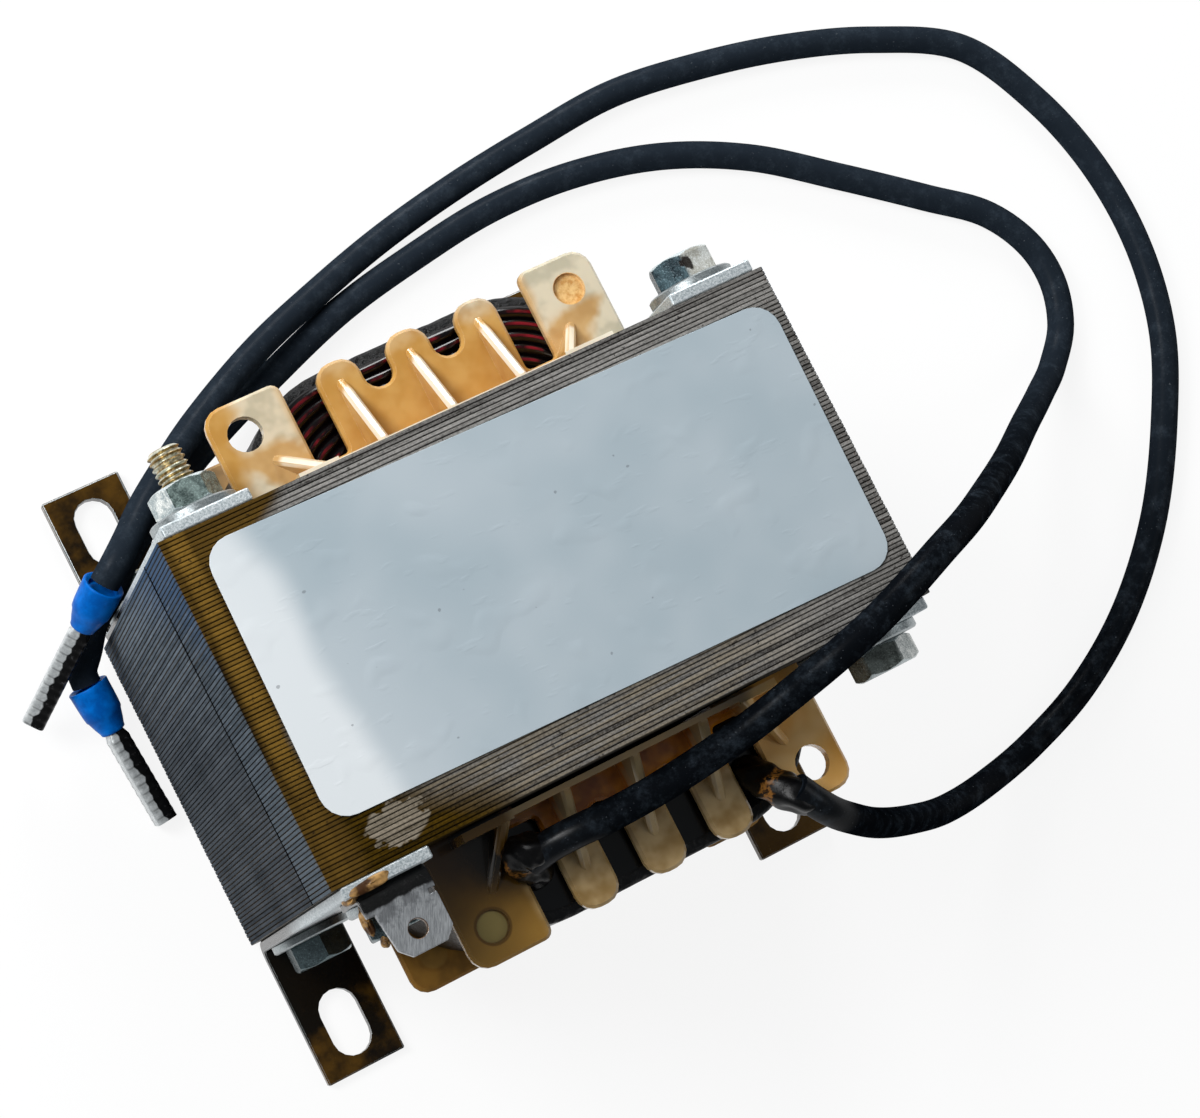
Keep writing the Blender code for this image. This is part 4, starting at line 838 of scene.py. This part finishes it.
def resin_finish(name, dark, light, density, ring_at):
    """Set varnish: amber where thin, nearly black where it pooled."""
    finish = Finish(name)
    mix, noise = finish.mix, finish.noise
    along = finish.grid()[1]
    cloud = noise(0.55, 3.0, 0.6)
    fine = noise(2.4, 3.0, 0.6)
    # A ring of bare thread near the far end.
    at = along + (cloud - 0.5) * 2.0
    ring = at.between(ring_at - 0.7, ring_at - 0.3) * at.between(ring_at + 0.7, ring_at + 0.3)
    ring = ring * fine.between(0.42, 0.55)
    colour = mix(cloud.between(density - 0.1, density + 0.12).largest(ring), dark, light)
    normal = finish.bump(fine + cloud * 0.5, 0.1, 0.4)
    return finish.done(colour, 0.26 + fine * 0.2, normal, specular_ior_level=0.22)


def collar_finish(blue):
    """Vivid blue moulded collar with faint flow marks."""
    finish = Finish("collar blue")
    mix, noise = finish.mix, finish.noise
    cloud = noise(0.6, 3.0, 0.6)
    fine = noise(5.0, 3.0, 0.6)
    colour = mix(cloud.between(0.35, 0.7), srgb(0, 82, 166), blue)
    colour = mix(fine.between(0.66, 0.74) * 0.2, colour, srgb(0, 40, 100))
    normal = finish.bump(fine, 0.03, 0.35)
    return finish.done(colour, 0.3 + fine * 0.12, normal, specular_ior_level=0.06)


def pin_finish():
    """Tinned copper: bright left of its ridge, painted shade in black with crimp marks right of it.
    """
    finish = Finish("pin tin")
    mix, noise = finish.mix, finish.noise
    around, along = finish.grid()
    fine = noise(2.6, 4.0, 0.65)
    bite = ((along * 0.95).fraction() - 0.5).absolute()
    drift = noise(0.45, 1.0, 0.4)
    ridge = around + (bite - 0.25) * 0.04 + (drift - 0.5) * 0.16
    # Painted shade: black on the side right of the ridge.
    dark = ridge.between(0.23, 0.25) * around.between(0.86, 0.8)
    dent = bite.between(0.36, 0.46) * (around + 0.02).absolute().between(0.14, 0.18)
    tin = mix(fine.between(0.2, 0.8), srgb(178, 182, 184), srgb(222, 226, 226))
    tin = mix(dent * 0.5, tin, srgb(96, 98, 98))
    worn = fine.between(0.55, 0.7) * bite.between(0.2, 0.35) * 0.6
    black = mix(worn, srgb(8, 7, 8), srgb(86, 86, 88))
    colour = mix(dark, tin, black)
    normal = finish.bump(fine, 0.04, 0.4)
    return finish.done(colour, 0.3 + fine * 0.15, normal, metallic=0.55)


def gap_finish():
    """Near black board, seen as a line between the stacks."""
    finish = Finish("gap board")
    mix, noise = finish.mix, finish.noise
    fine = noise(3.0, 3.0, 0.6)
    colour = mix(fine, srgb(4, 4, 4), srgb(16, 14, 12))
    normal = finish.bump(fine, 0.05, 0.4)
    return finish.done(colour, 0.6, normal, specular_ior_level=0.0)


# Sizes and colours


class CoreSizes(bpy.types.PropertyGroup):
    """Sizes of the stacks of sheets"""

    sheets: bpy.props.IntProperty(
        name="Sheets", description="Number of sheets", default=SHEET_COUNT
    )
    groove: bpy.props.FloatProperty(
        name="Groove", description="Depth of the line between two sheets", default=0.09 * SCALE,
        unit="LENGTH",
    )
    spread: bpy.props.FloatProperty(
        name="Spread", description="How far the sheets' edges differ", default=0.05 * SCALE,
        unit="LENGTH",
    )


class FastenerSizes(bpy.types.PropertyGroup):
    """Sizes of bolts and nuts"""

    across_flats: bpy.props.FloatProperty(
        name="Across flats", description="Width of the hexagons", default=6.1 * SCALE,
        unit="LENGTH",
    )
    bolt: bpy.props.FloatProperty(
        name="Bolt", description="Outer diameter of the thread", default=3.5 * SCALE,
        unit="LENGTH",
    )
    pitch: bpy.props.FloatProperty(
        name="Pitch", description="Distance from crest to crest", default=THREAD_PITCH * SCALE,
        unit="LENGTH",
    )


class LeadSizes(bpy.types.PropertyGroup):
    """Sizes of the leads and their ferrules"""

    diameter: bpy.props.FloatProperty(
        name="Diameter", description="Outer diameter of each lead", default=3.2 * SCALE,
        unit="LENGTH",
    )
    collar_mouth: bpy.props.FloatProperty(
        name="Collar mouth", description="Diameter of the collar's wide end", default=4.5 * SCALE,
        unit="LENGTH",
    )


class Colours(bpy.types.PropertyGroup):
    """Main colours of the finishes"""

    film: bpy.props.FloatVectorProperty(
        name="Film", description="Label film", default=srgb(172, 183, 190), subtype="COLOR"
    )
    nylon: bpy.props.FloatVectorProperty(
        name="Nylon", description="Bobbin at the back", default=srgb(194, 150, 82), subtype="COLOR"
    )
    # The red of the painted glints on the turns.
    wire: bpy.props.FloatVectorProperty(
        name="Wire", description="Enamel on the turns", default=srgb(120, 18, 30), subtype="COLOR"
    )
    rubber: bpy.props.FloatVectorProperty(
        name="Rubber", description="Leads near the coil", default=srgb(10, 13, 17), subtype="COLOR"
    )
    collar: bpy.props.FloatVectorProperty(
        name="Collar", description="Ferrule collars", default=srgb(0, 108, 202), subtype="COLOR"
    )


# Pieces


def sheet_stack(name, outline, count, groove, spread, seed):
    """Sheets of one outline stacked along Y, each with its own small offset.

    Each sheet has four rings: two at its faces, a groove's depth in, and two just inside them.
    The outline's corners are cut a little. Both ends are closed flat.
    """
    corners = np.array(outline, float)
    inward = np.roll(corners, 1, 0) - corners
    inward /= np.linalg.norm(inward, axis=1)[:, None]
    onward = np.roll(corners, -1, 0) - corners
    onward /= np.linalg.norm(onward, axis=1)[:, None]
    points = np.stack([corners + inward * CORNER_CUT, corners + onward * CORNER_CUT], 1)
    points = points.reshape(-1, 2)
    normal_in = np.stack([-inward[:, 1], inward[:, 0]], -1)
    normal_on = np.stack([onward[:, 1], -onward[:, 0]], -1)
    normals = np.stack([normal_in, normal_on], 1).reshape(-1, 2)
    sheet = 2 * CORE_Y / count
    offset = (np.random.default_rng(seed).random(count) - 0.75) * spread
    shares = np.array([0.03, 0.14, 0.86, 0.97])
    level = (-CORE_Y + sheet * (np.arange(count)[:, None] + shares[None])).ravel()
    level[0] = -CORE_Y
    level[-1] = CORE_Y
    inset = (offset[:, None] + np.array([-groove, 0.0, 0.0, -groove])[None]).ravel()
    ring = points[None] + normals[None] * inset[:, None, None]
    along = np.repeat(level[:, None], len(points), 1)
    stack = surface(name, np.stack([ring[..., 0], along, ring[..., 1]], -1))
    mesh = stack.data
    bm = bmesh.new()
    bm.from_mesh(mesh)
    bm.verts.ensure_lookup_table()
    last = (len(level) - 1) * len(points)
    for triangle in tessellate_polygon([[Vector((x, z, 0)) for x, z in points]]):
        bm.faces.new([bm.verts[corner] for corner in triangle])
        bm.faces.new([bm.verts[last + corner] for corner in triangle])
    bmesh.ops.recalc_face_normals(bm, faces=bm.faces)
    bm.to_mesh(mesh)
    bm.free()
    shade(mesh, 25)
    return stack


class CHOKE_OT_core(bpy.types.Operator):
    """E sheets, the I yoke on them and the gap sheet between"""

    bl_idname = "choke.core"
    bl_label = "Core"

    def execute(self, context):
        sizes = context.scene.choke_core
        steel = core_finish()
        e_outline = (
            (-CORE_X, CORE_FOOT), (CORE_X, CORE_FOOT), (CORE_X, SEAM_LOW), (WINDOW_X, SEAM_LOW),
            (WINDOW_X, WINDOW_LOW), (LEG_X, WINDOW_LOW), (LEG_X, SEAM_LOW), (-LEG_X, SEAM_LOW),
            (-LEG_X, WINDOW_LOW), (-WINDOW_X, WINDOW_LOW), (-WINDOW_X, SEAM_LOW),
            (-CORE_X, SEAM_LOW),
        )
        i_outline = (
            (-CORE_X, SEAM_HIGH), (CORE_X, SEAM_HIGH), (CORE_X, CORE_TOP), (-CORE_X, CORE_TOP),
        )
        measures = (sizes.sheets, sizes.groove / SCALE, sizes.spread / SCALE)
        for name, node, outline, seed in (
            ("core_e_sheets", "e_core", e_outline, 3), ("core_i_sheets", "i_yoke", i_outline, 8),
        ):
            stack = sheet_stack(name, outline, *measures, seed)
            hand_over(stack, [node], "core_steel", steel)
        paint("gap_sheet", gap_finish())
        return {"FINISHED"}


class CHOKE_OT_label(bpy.types.Operator):
    """Bare film label with rounded corners"""

    bl_idname = "choke.label"
    bl_label = "Label"

    def execute(self, context):
        label = mesh_copy("label_film", "label", 0.04, 2)
        film = label_finish(context.scene.choke_colours.film)
        hand_over(label, ["label"], "label", film, film)
        return {"FINISHED"}


class CHOKE_OT_brackets(bpy.types.Operator):
    """Four bent strips with slotted feet"""

    bl_idname = "choke.brackets"
    bl_label = "Brackets"

    def execute(self, context):
        steel = strip_finish("strip steel", 0.0)
        edge = strip_finish("strip edge", 1.0)
        for end in ("front_left", "front_right", "back_left", "back_right"):
            strip = mesh_copy(f"strip_{end}", f"bracket_{end}", 0.16, 3)
            hand_over(strip, [f"bracket_{end}"], "strip_steel", steel, edge)
        return {"FINISHED"}


def hex_grid(height, across, bore, turn_deg, both_ends):
    """A hexagon about +Y from y = 0, chamfered by a 30 degree cone at its far end or at both.

    The radius is the smaller of the hexagon, apothem / cos(angle within a flat), and the cone.
    """
    sides = 96
    within = (angles(sides) - math.radians(turn_deg) + np.pi / 6) % (np.pi / 3) - np.pi / 6
    hexagon = (across / 2) / np.cos(within)
    rise = np.linspace(0.0, CHAMFER, 8)
    cone = across / 2 * 0.965 + rise * 1.55
    flat_end = cone[0] - 0.03
    far = [(flat_end, height), *zip(cone[1:], height - rise[1:])][::-1]
    near = [(PAST_HEX, 0.0), (PAST_HEX, 0.05)]
    if both_ends:
        near = [(flat_end, 0.0), *zip(cone[1:], rise[1:])]
    rows = [(bore, 0.0), *near, (PAST_HEX, height - CHAMFER), *far, (bore, height)]
    return revolve_grid(rows, sides, hexagon)


def thread_grid(low, high, diameter, pitch, sides=40):
    """A helical ridge about +Y: the radius falls with the distance from the crest.

    The crest lies where (y - low) / pitch - angle / (2 pi) is whole, and the far end runs into
    a short cone.
    """
    level = np.linspace(low, high, int((high - low) / pitch * 14))[:, None]
    angle = angles(sides)
    phase = ((level - low) / pitch - angle[None] / (2 * np.pi)) % 1.0
    depth = np.clip(np.abs(phase - 0.5) * 2.6 - 0.2, 0.0, 1.0) ** 0.8
    radius = np.minimum(diameter / 2 - 0.3 * depth, diameter / 2 - 0.4 + (high - level) * 1.4)
    return about_y(radius, np.broadcast_to(level, radius.shape), angle)


def placed(grid, y, x, z, side):
    """A grid built towards +Y from y, put at a bolt's axis; in front it is turned half a turn."""
    return (grid + (0, y, 0)) * np.array([side, side, 1.0]) + np.array([x, 0.0, z])


class CHOKE_OT_fasteners(bpy.types.Operator):
    """Four bolts with their nuts and washers"""

    bl_idname = "choke.fasteners"
    bl_label = "Fasteners"

    def execute(self, context):
        sizes = context.scene.choke_fasteners
        across, bolt = sizes.across_flats / SCALE, sizes.bolt / SCALE
        pitch = sizes.pitch / SCALE
        plain_heads = zinc_finish(
            "head steel", srgb(24, 34, 38), srgb(120, 138, 142), 0.22, srgb(12, 16, 20)
        )
        plain_nuts = hex_finish(
            "nut steel", srgb(46, 60, 58), srgb(136, 154, 150), srgb(132, 148, 152), -0.4, -0.7
        )
        # The upper right head and nut get their own copies of the zinc, with painted light suited
        # to where they sit.
        right_head = hex_finish(
            "facet steel", srgb(16, 30, 38), srgb(84, 108, 116), srgb(186, 184, 172), -0.1, 0.3
        )
        right_nut = hex_finish(
            "lit nut steel", srgb(60, 66, 62), srgb(120, 128, 124), srgb(150, 158, 158), -0.2, 0.1
        )
        thread_steel = thread_finish()
        washer_steel = zinc_finish(
            "washer steel", srgb(108, 118, 122), srgb(196, 202, 203), 0.36, srgb(70, 74, 74)
        )
        seat = STRIP_Y + WASHER_HEIGHT
        for name, x, z, head_side, past_nut, head_turn, nut_turn in FASTENER_SETS:
            at_head, at_nut = (x, z, head_side), (x, z, -head_side)
            lift = TAB_HEIGHT if name == "upper_left" else 0.0
            finishes = (plain_heads, plain_nuts)
            if name == "upper_right":
                finishes = (right_head, right_nut)
            grid = hex_grid(HEAD_HEIGHT, across, 0.02, head_turn, False)
            head = surface(f"head_{name}", placed(grid, seat + lift, *at_head), smooth_deg=24)
            hand_over(head, [f"bolt_{name}"], "bolt_steel", finishes[0])
            low, high = seat - 0.6, seat + NUT_HEIGHT + past_nut
            grid = placed(thread_grid(low, high, bolt, pitch), 0, *at_nut)
            shank = surface(f"thread_{name}", grid, capped=True, smooth_deg=50)
            hand_over(shank, [f"bolt_{name}"], "bolt_steel", thread_steel)
            grid = hex_grid(NUT_HEIGHT, across, bolt / 2 - 0.25, nut_turn, True)
            nut = surface(f"nut_{name}_skin", placed(grid, seat, *at_nut), smooth_deg=24)
            hand_over(nut, [f"nut_{name}"], "nut_steel", finishes[1])
            for end, side in (("front", -1), ("back", 1)):
                under = lift if end == "front" else 0.0
                outer = 4.0 if under else 4.5
                profile = (
                    (2.2, 0.0), (outer - 0.08, 0.0), (outer, 0.08), (outer, 0.8),
                    (outer - 0.2, 0.97), (outer - 0.3, 1.0), (2.2, 1.0), (2.2, 0.0),
                )
                node = f"washer_{name}_{end}"
                grid = placed(revolve_grid(profile, 64), STRIP_Y + under, x, z, side)
                hand_over(surface(f"{node}_skin", grid), [node], "washer_steel", washer_steel)
        return {"FINISHED"}


class CHOKE_OT_earth_tab(bpy.types.Operator):
    """Blade terminal on the upper left bolt"""

    bl_idname = "choke.earth_tab"
    bl_label = "Earth tab"

    def execute(self, context):
        tab = mesh_copy("tab_blade", "earth_tab", 0.1, 2)
        # The real blade is a little narrower on its left, past its root.
        vertices = tab.data.vertices
        points = np.empty(len(vertices) * 3)
        vertices.foreach_get("co", points)
        points = points.reshape(-1, 3)
        past_root = np.clip(BLADE_ROOT_Y - points[:, 1] / SCALE, 0, 1)
        points[:, 0] += past_root * (points[:, 0] < BLADE_LEFT_X * SCALE) * BLADE_CUT * SCALE
        vertices.foreach_set("co", points.ravel())
        tin = tab_finish()
        hand_over(tab, ["earth_tab"], "tab_tin", tin, tin)
        return {"FINISHED"}


class CHOKE_OT_bobbin(bpy.types.Operator):
    """Moulded bobbin with lugs, fingers and ribs"""

    bl_idname = "choke.bobbin"
    bl_label = "Bobbin"

    def execute(self, context):
        body = mesh_copy("bobbin_body", "bobbin", 0.14, 3)
        colour = context.scene.choke_colours.nylon
        nylon = bobbin_finish("bobbin nylon", colour, 0.0)
        hand_over(body, ["bobbin"], "bobbin_nylon", nylon, bobbin_finish("bobbin rim", colour, 0.6))
        return {"FINISHED"}


def coil_loop(x, front, back, front_radius, back_radius, count):
    """Points, outward normals and shares of a rectangle with round corners, evenly spaced."""
    turn = np.linspace(0, np.pi / 2, 13)
    points, normals = [], []
    for i, (cx, cy) in enumerate(((x, -front), (x, back), (-x, back), (-x, -front))):
        start = -np.pi / 2 + i * np.pi / 2
        radius = back_radius if cy > 0 else front_radius
        centre = np.array([cx - math.copysign(radius, cx), cy - math.copysign(radius, cy)])
        unit = np.stack([np.cos(start + turn), np.sin(start + turn)], -1)
        points.append(centre + radius * unit)
        normals.append(unit)
    points = np.concatenate([*points, points[0][:1]])
    normals = np.concatenate([*normals, normals[0][:1]])
    step = np.linalg.norm(np.diff(points, axis=0), axis=1)
    length = np.concatenate([[0], np.cumsum(step)])
    wanted = np.arange(count) * length[-1] / count
    where, facing = (
        np.stack([np.interp(wanted, length, rows[:, i]) for i in (0, 1)], -1)
        for rows in (points, normals)
    )
    return where, facing / np.linalg.norm(facing, axis=1)[:, None], wanted / length[-1]


def swept_ring(name, where, facing, outward, level, smooth_deg):
    """A closed profile carried round a loop: each point lies outward from it at its level."""
    flat = where[:, None] + facing[:, None] * outward[..., None]
    grid = np.concatenate([flat, level[..., None]], -1)
    return surface(name, grid, wrap_rows=True, smooth_deg=smooth_deg)


def waves(share, level, seed, count, turns, spread):
    """A sum of sine waves round the loop and along the height, with random turns and phases."""
    rng = np.random.default_rng(seed)
    total = np.zeros(np.broadcast_shapes(share.shape, level.shape))
    for _ in range(count):
        k = rng.integers(2, turns)
        m = rng.uniform(-spread, spread)
        phase = 2 * np.pi * k * share + m * level + rng.uniform(0, 6.3)
        total = total + np.sin(phase) / (1 + k / 12)
    return total / count


def ridges(share, count, height):
    """Half sine waves: height |sin(pi count share)|."""
    return height * np.abs(np.sin(np.pi * share * count))


def coil_surface():
    """Turns of wire round the tube: ridges on the top, the outer side and the bottom.

    The profile's outward share is times the build, which is larger at the front than at the
    back. The turns show at the back, and tape smooths them in front.
    """
    where, facing, share = coil_loop(*TUBE_LOOP, 420)
    end_build = np.where(facing[:, 1] > 0, BUILD_BACK, BUILD_FRONT)
    build = (BUILD_SIDE + (end_build - BUILD_SIDE) * facing[:, 1] ** 2)[:, None]
    layers = np.linspace(0, 1, COIL_LAYERS * 8 + 1)
    hump = ridges(layers, COIL_LAYERS, 0.42)
    turns = np.linspace(0, 1, COIL_TURNS * 6 + 1)[1:-1]
    out = np.concatenate([layers, np.ones_like(turns), layers[::-1]])[None]
    drop = COIL_HIGH - (COIL_HIGH - COIL_LOW) * turns
    round_level = np.concatenate([COIL_HIGH + hump, drop, (COIL_LOW - hump)[::-1]])
    taped_level = np.concatenate([0 * hump + COIL_HIGH + 0.25, drop, 0 * hump + COIL_LOW - 0.25])
    swell = np.concatenate([0 * hump, ridges(turns, COIL_TURNS, 0.3), 0 * hump])
    shown = np.clip((where[:, 1] + 4.0) / 8.0, 0.0, 1.0)[:, None]
    wobble = waves(share[:, None], out * 6, 5, 9, 14, 3.0) * 0.25
    outward = out * build + swell * shown + wobble * out
    level = taped_level + (round_level - taped_level) * shown
    level = level + waves(share[:, None], out * 3, 6, 9, 14, 3.0) * 0.3
    return swept_ring("coil_turns", where, facing, outward, level, 70)


def wrap_surface():
    """The wrap's closed shell: its wall is rippled inwards and its top edge crumpled."""
    where, facing, share = coil_loop(*WRAP_LOOP, 640)
    wall = [(1.0, z) for z in np.linspace(15.75, 42.3, 40)]
    profile = np.array([(0.35, 15.7), *wall, *WRAP_EDGE])
    outward, level = profile[None, :, 0], profile[None, :, 1]
    back = np.clip((where[:, 1] + 2) / 6, 0, 1)[:, None]
    ripple = np.minimum(waves(share[:, None], level, 11, 14, 90, 1.2) * 0.5, 0.0) - 0.12
    ripple = np.where(outward > 0.9, ripple, 0.0) * (0.3 + 0.7 * back)
    crumple = waves(share[:, None], outward * 2, 12, 16, 120, 2.0) * 0.9
    crumple = np.where(level > 42.5, crumple, 0.0) * (0.25 + 0.75 * back)
    return swept_ring("wrap_skin", where, facing, outward + ripple, level + crumple, 60)


class CHOKE_OT_winding(bpy.types.Operator):
    """Layers of enamelled wire and the black wrap round them"""

    bl_idname = "choke.winding"
    bl_label = "Winding"

    def execute(self, context):
        enamel = enamel_finish(context.scene.choke_colours.wire)
        hand_over(coil_surface(), ["winding"], "winding_enamel", enamel)
        hand_over(wrap_surface(), ["outer_wrap"], "wrap_tape", wrap_finish())
        return {"FINISHED"}


def straight(start, toward, distances):
    """Points at the given distances from start along the line towards another point."""
    start = np.array(start, float)
    axis = np.array(toward, float) - start
    axis /= np.linalg.norm(axis)
    return start + axis * np.array(distances, float)[:, None]


def collar_surface(name, lead_end, pin_end, mouth):
    """The collar: (distance, radius) rows turned about the line to the pin's end."""
    half = mouth / 2
    rows = np.array([
        (0.9, 1.6), (0.45, 1.62), (0.25, half - 0.35), (0.16, half - 0.15), (0.18, half - 0.05),
        (0.3, half + 0.03), (0.7, half), (1.8, half - 0.03), (3.0, half - 0.08),
        (3.7, half - 0.16), (3.9, half - 0.3), (4.8, 1.68), (5.5, 1.42), (5.75, 1.38), (5.85, 1.25),
    ])
    path = straight(lead_end, pin_end, rows[:, 0])
    ring = rings_along(straight(lead_end, pin_end, np.linspace(-1, 7, len(rows))), 48)
    grid = path[:, None] + ring * rows[:, 1][:, None, None]
    return surface(f"collar_{name}_skin", grid, capped=True, smooth_deg=50)


def pin_surface(name, lead_end, pin_end, length):
    """The pin: a superellipse of power 5, rippled by the crimp and a little wider at its end."""
    distance = np.linspace(5.9, 6.3 + length, 110)
    local = distance - 6.3
    shoulder = np.clip((local + 0.4) / 0.8, 0, 1)
    ripple = np.clip(np.abs(((local / 1.05) % 1.0) - 0.5) * 3.0 - 0.35, 0, 1) * 0.035
    ripple = ripple * np.clip(local / 0.6, 0, 1) * np.clip((length - local) / 0.5, 0, 1)
    flare = 1.0 + 0.06 * np.clip(local / length, 0, 1)
    c, s = np.cos(angles(48)), np.sin(angles(48))
    blunt = (np.abs(c) ** 5.0 + np.abs(s) ** 5.0) ** (-1 / 5.0)
    path = straight(lead_end, pin_end, distance)
    side, top = frames_along(path)
    wide = (0.95 + 0.28 * shoulder * flare - ripple)[:, None] * blunt * c
    tall = (0.95 + 0.12 * shoulder - ripple)[:, None] * blunt * s
    grid = path[:, None] + side[:, None] * wide[..., None] + top[:, None] * tall[..., None]
    return surface(f"pin_{name}_skin", grid, capped=True, smooth_deg=35)


class CHOKE_OT_leads(bpy.types.Operator):
    """Two flying leads that cross over each other and lie on the surface, with ferrules"""

    bl_idname = "choke.leads"
    bl_label = "Leads"

    def execute(self, context):
        sizes = context.scene.choke_leads
        colours = context.scene.choke_colours
        diameter = sizes.diameter / SCALE
        rubber = lead_finish(colours.rubber)
        blue = collar_finish(colours.collar)
        tin = pin_finish()
        for name, route, pin_end, pin_length in (
            ("inner", INNER_ROUTE, INNER_PIN_END, 10.8),
            ("outer", OUTER_ROUTE, OUTER_PIN_END, 12.4),
        ):
            path = smooth_route(route, 0.8)
            lead = surface(f"lead_{name}_skin", tube_grid(path, diameter / 2), capped=True)
            hand_over(lead, [f"lead_{name}"], "lead_rubber", rubber)
            collar = collar_surface(name, route[-1], pin_end, sizes.collar_mouth / SCALE)
            hand_over(collar, [f"ferrule_collar_{name}"], "collar_blue", blue)
            pin = pin_surface(name, route[-1], pin_end, pin_length)
            hand_over(pin, [f"ferrule_pin_{name}"], "pin_tin", tin)
        return {"FINISHED"}


def blob_grid(centre, size, seed):
    """A lumpy ellipsoid: rings of latitude scaled by 1 + 0.5 waves(longitude, latitude)."""
    rise = np.linspace(-1.55, 1.55, 28)[:, None]
    turn = (np.arange(36) / 36.0)[None]
    lump = 1 + 0.5 * waves(turn, rise * 2, seed, 8, 5, 2.0)
    flat = np.cos(rise)
    angle = 2 * np.pi * turn
    unit = np.stack([flat * np.cos(angle), flat * np.sin(angle), np.sin(rise) + turn * 0], -1)
    return np.array(centre) + unit * lump[..., None] * np.array(size)


class CHOKE_OT_sleeves(bpy.types.Operator):
    """Textile sleeves and set resin where the leads come out of the coil"""

    bl_idname = "choke.sleeves"
    bl_label = "Sleeves"

    def execute(self, context):
        dark = resin_finish("sleeve resin", srgb(3, 3, 4), srgb(128, 84, 32), 0.74, 4.6)
        for name, route, seed in (("inner", INNER_SLEEVE, 21), ("outer", OUTER_SLEEVE, 22)):
            path = smooth_route(route, 0.25)
            share = np.linspace(0, 1, len(path))[:, None]
            lumps = waves((np.arange(40) / 40.0)[None], share * 14, seed, 10, 7, 2.0)
            radius = 1.78 + 0.6 * lumps - 0.25 * np.clip((share - 0.8) / 0.2, 0, 1) ** 2
            grid = tube_grid(path, radius, 40, UPRIGHT_REFERENCE)
            sleeve = surface(f"sleeve_{name}_skin", grid, capped=True, smooth_deg=60)
            hand_over(sleeve, [f"lead_sleeve_{name}"], "sleeve_resin", dark)
        amber = resin_finish("amber resin", srgb(58, 34, 12), srgb(170, 132, 80), 0.5, -9.0)
        for seed, (name, centre, size) in enumerate(BLOBS, 30):
            grid = blob_grid(centre, size, seed)
            blob = surface(f"resin_{name}", grid, capped=True, smooth_deg=80)
            hand_over(blob, [], "sleeve_resin", amber)
        return {"FINISHED"}


class CHOKE_OT_stage(bpy.types.Operator):
    """Pale floor, soft lamps and the camera"""

    bl_idname = "choke.stage"
    bl_label = "Stage"

    def execute(self, context):
        scene = context.scene
        x, y = np.meshgrid((-900.0, 900.0), (-900.0, 900.0))
        floor = surface("floor", np.stack([x, y, 0 * x], -1), wrap_columns=False)
        finish = Finish("pale floor")
        shader = finish.node("ShaderNodeBsdfDiffuse", {}, {"Color": (0.96, 0.96, 0.96)})
        white = finish.node("ShaderNodeEmission", {}, {"Color": (1.0, 1.0, 1.0), "Strength": 1.0})
        rays = finish.node("ShaderNodeLightPath", {}, {}).socket.node.outputs
        camera_ray, glossy_ray, clear_ray = (
            Value(finish, rays[f"Is {kind} Ray"]) for kind in ("Camera", "Glossy", "Transmission")
        )
        seen = (camera_ray + glossy_ray + clear_ray).smallest(1.0) * 0.88
        mixed = finish.node("ShaderNodeMixShader", {}, {0: seen, 1: shader, 2: white})
        floor.data.materials.append(finish.ended(mixed))
        scene.world = bpy.data.worlds.new("studio")
        scene.world.use_nodes = True
        background = scene.world.node_tree.nodes["Background"].inputs
        background["Color"].default_value = (0.92, 0.97, 1.0, 1.0)
        background["Strength"].default_value = 0.2
        for name, place, size, power in LAMPS:
            light = bpy.data.lights.new(name, "AREA")
            light.shape = "SQUARE"
            light.size = size * SCALE
            light.energy = power
            lamp = add_object(name, light)
            lamp.location = Vector(place) * SCALE
            aim = Vector(LAMPS_AIM) - Vector(place)
            lamp.rotation_euler = aim.to_track_quat("-Z", "Y").to_euler()
        lens = bpy.data.cameras.new("camera")
        lens.lens = 97.14
        lens.sensor_width = 36.0
        lens.clip_start = 0.01
        camera = add_object("camera", lens)
        turn = Matrix([Vector(axis) for axis in CAMERA_AXES]).transposed().to_4x4()
        camera.matrix_world = Matrix.Translation(Vector(CAMERA_PLACE) * SCALE) @ turn
        scene.camera = camera
        scene.view_settings.view_transform = "Standard"
        return {"FINISHED"}


class CHOKE_PT_pieces(bpy.types.Panel):
    """Lists the operators"""

    bl_label = "Choke"
    bl_idname = "CHOKE_PT_pieces"
    bl_space_type = "VIEW_3D"
    bl_region_type = "UI"
    bl_category = "Choke"

    def draw(self, context):
        column = self.layout.column(align=True)
        for operator in OPERATORS:
            column.operator(operator.bl_idname)


OPERATORS = (
    CHOKE_OT_stage, CHOKE_OT_leads, CHOKE_OT_sleeves, CHOKE_OT_core, CHOKE_OT_label,
    CHOKE_OT_brackets, CHOKE_OT_fasteners, CHOKE_OT_earth_tab, CHOKE_OT_bobbin, CHOKE_OT_winding,
)
SETTINGS = {
    "choke_core": CoreSizes, "choke_fasteners": FastenerSizes, "choke_leads": LeadSizes,
    "choke_colours": Colours,
}
CLASSES = (*SETTINGS.values(), *OPERATORS, CHOKE_PT_pieces)


def register():
    """Registers the classes and gives the scene their sizes and colours."""
    for made in CLASSES:
        bpy.utils.register_class(made)
    for name, made in SETTINGS.items():
        setattr(bpy.types.Scene, name, bpy.props.PointerProperty(type=made))


def unregister():
    """Takes back what register gave."""
    for name in SETTINGS:
        delattr(bpy.types.Scene, name)
    for made in reversed(CLASSES):
        bpy.utils.unregister_class(made)


def main():
    """Builds the stage and every piece."""
    register()
    bpy.ops.choke.stage()
    bpy.ops.choke.leads()
    bpy.ops.choke.sleeves()
    bpy.ops.choke.core()
    bpy.ops.choke.label()
    bpy.ops.choke.brackets()
    bpy.ops.choke.fasteners()
    bpy.ops.choke.earth_tab()
    bpy.ops.choke.bobbin()
    bpy.ops.choke.winding()


if __name__ == "__main__":
    main()
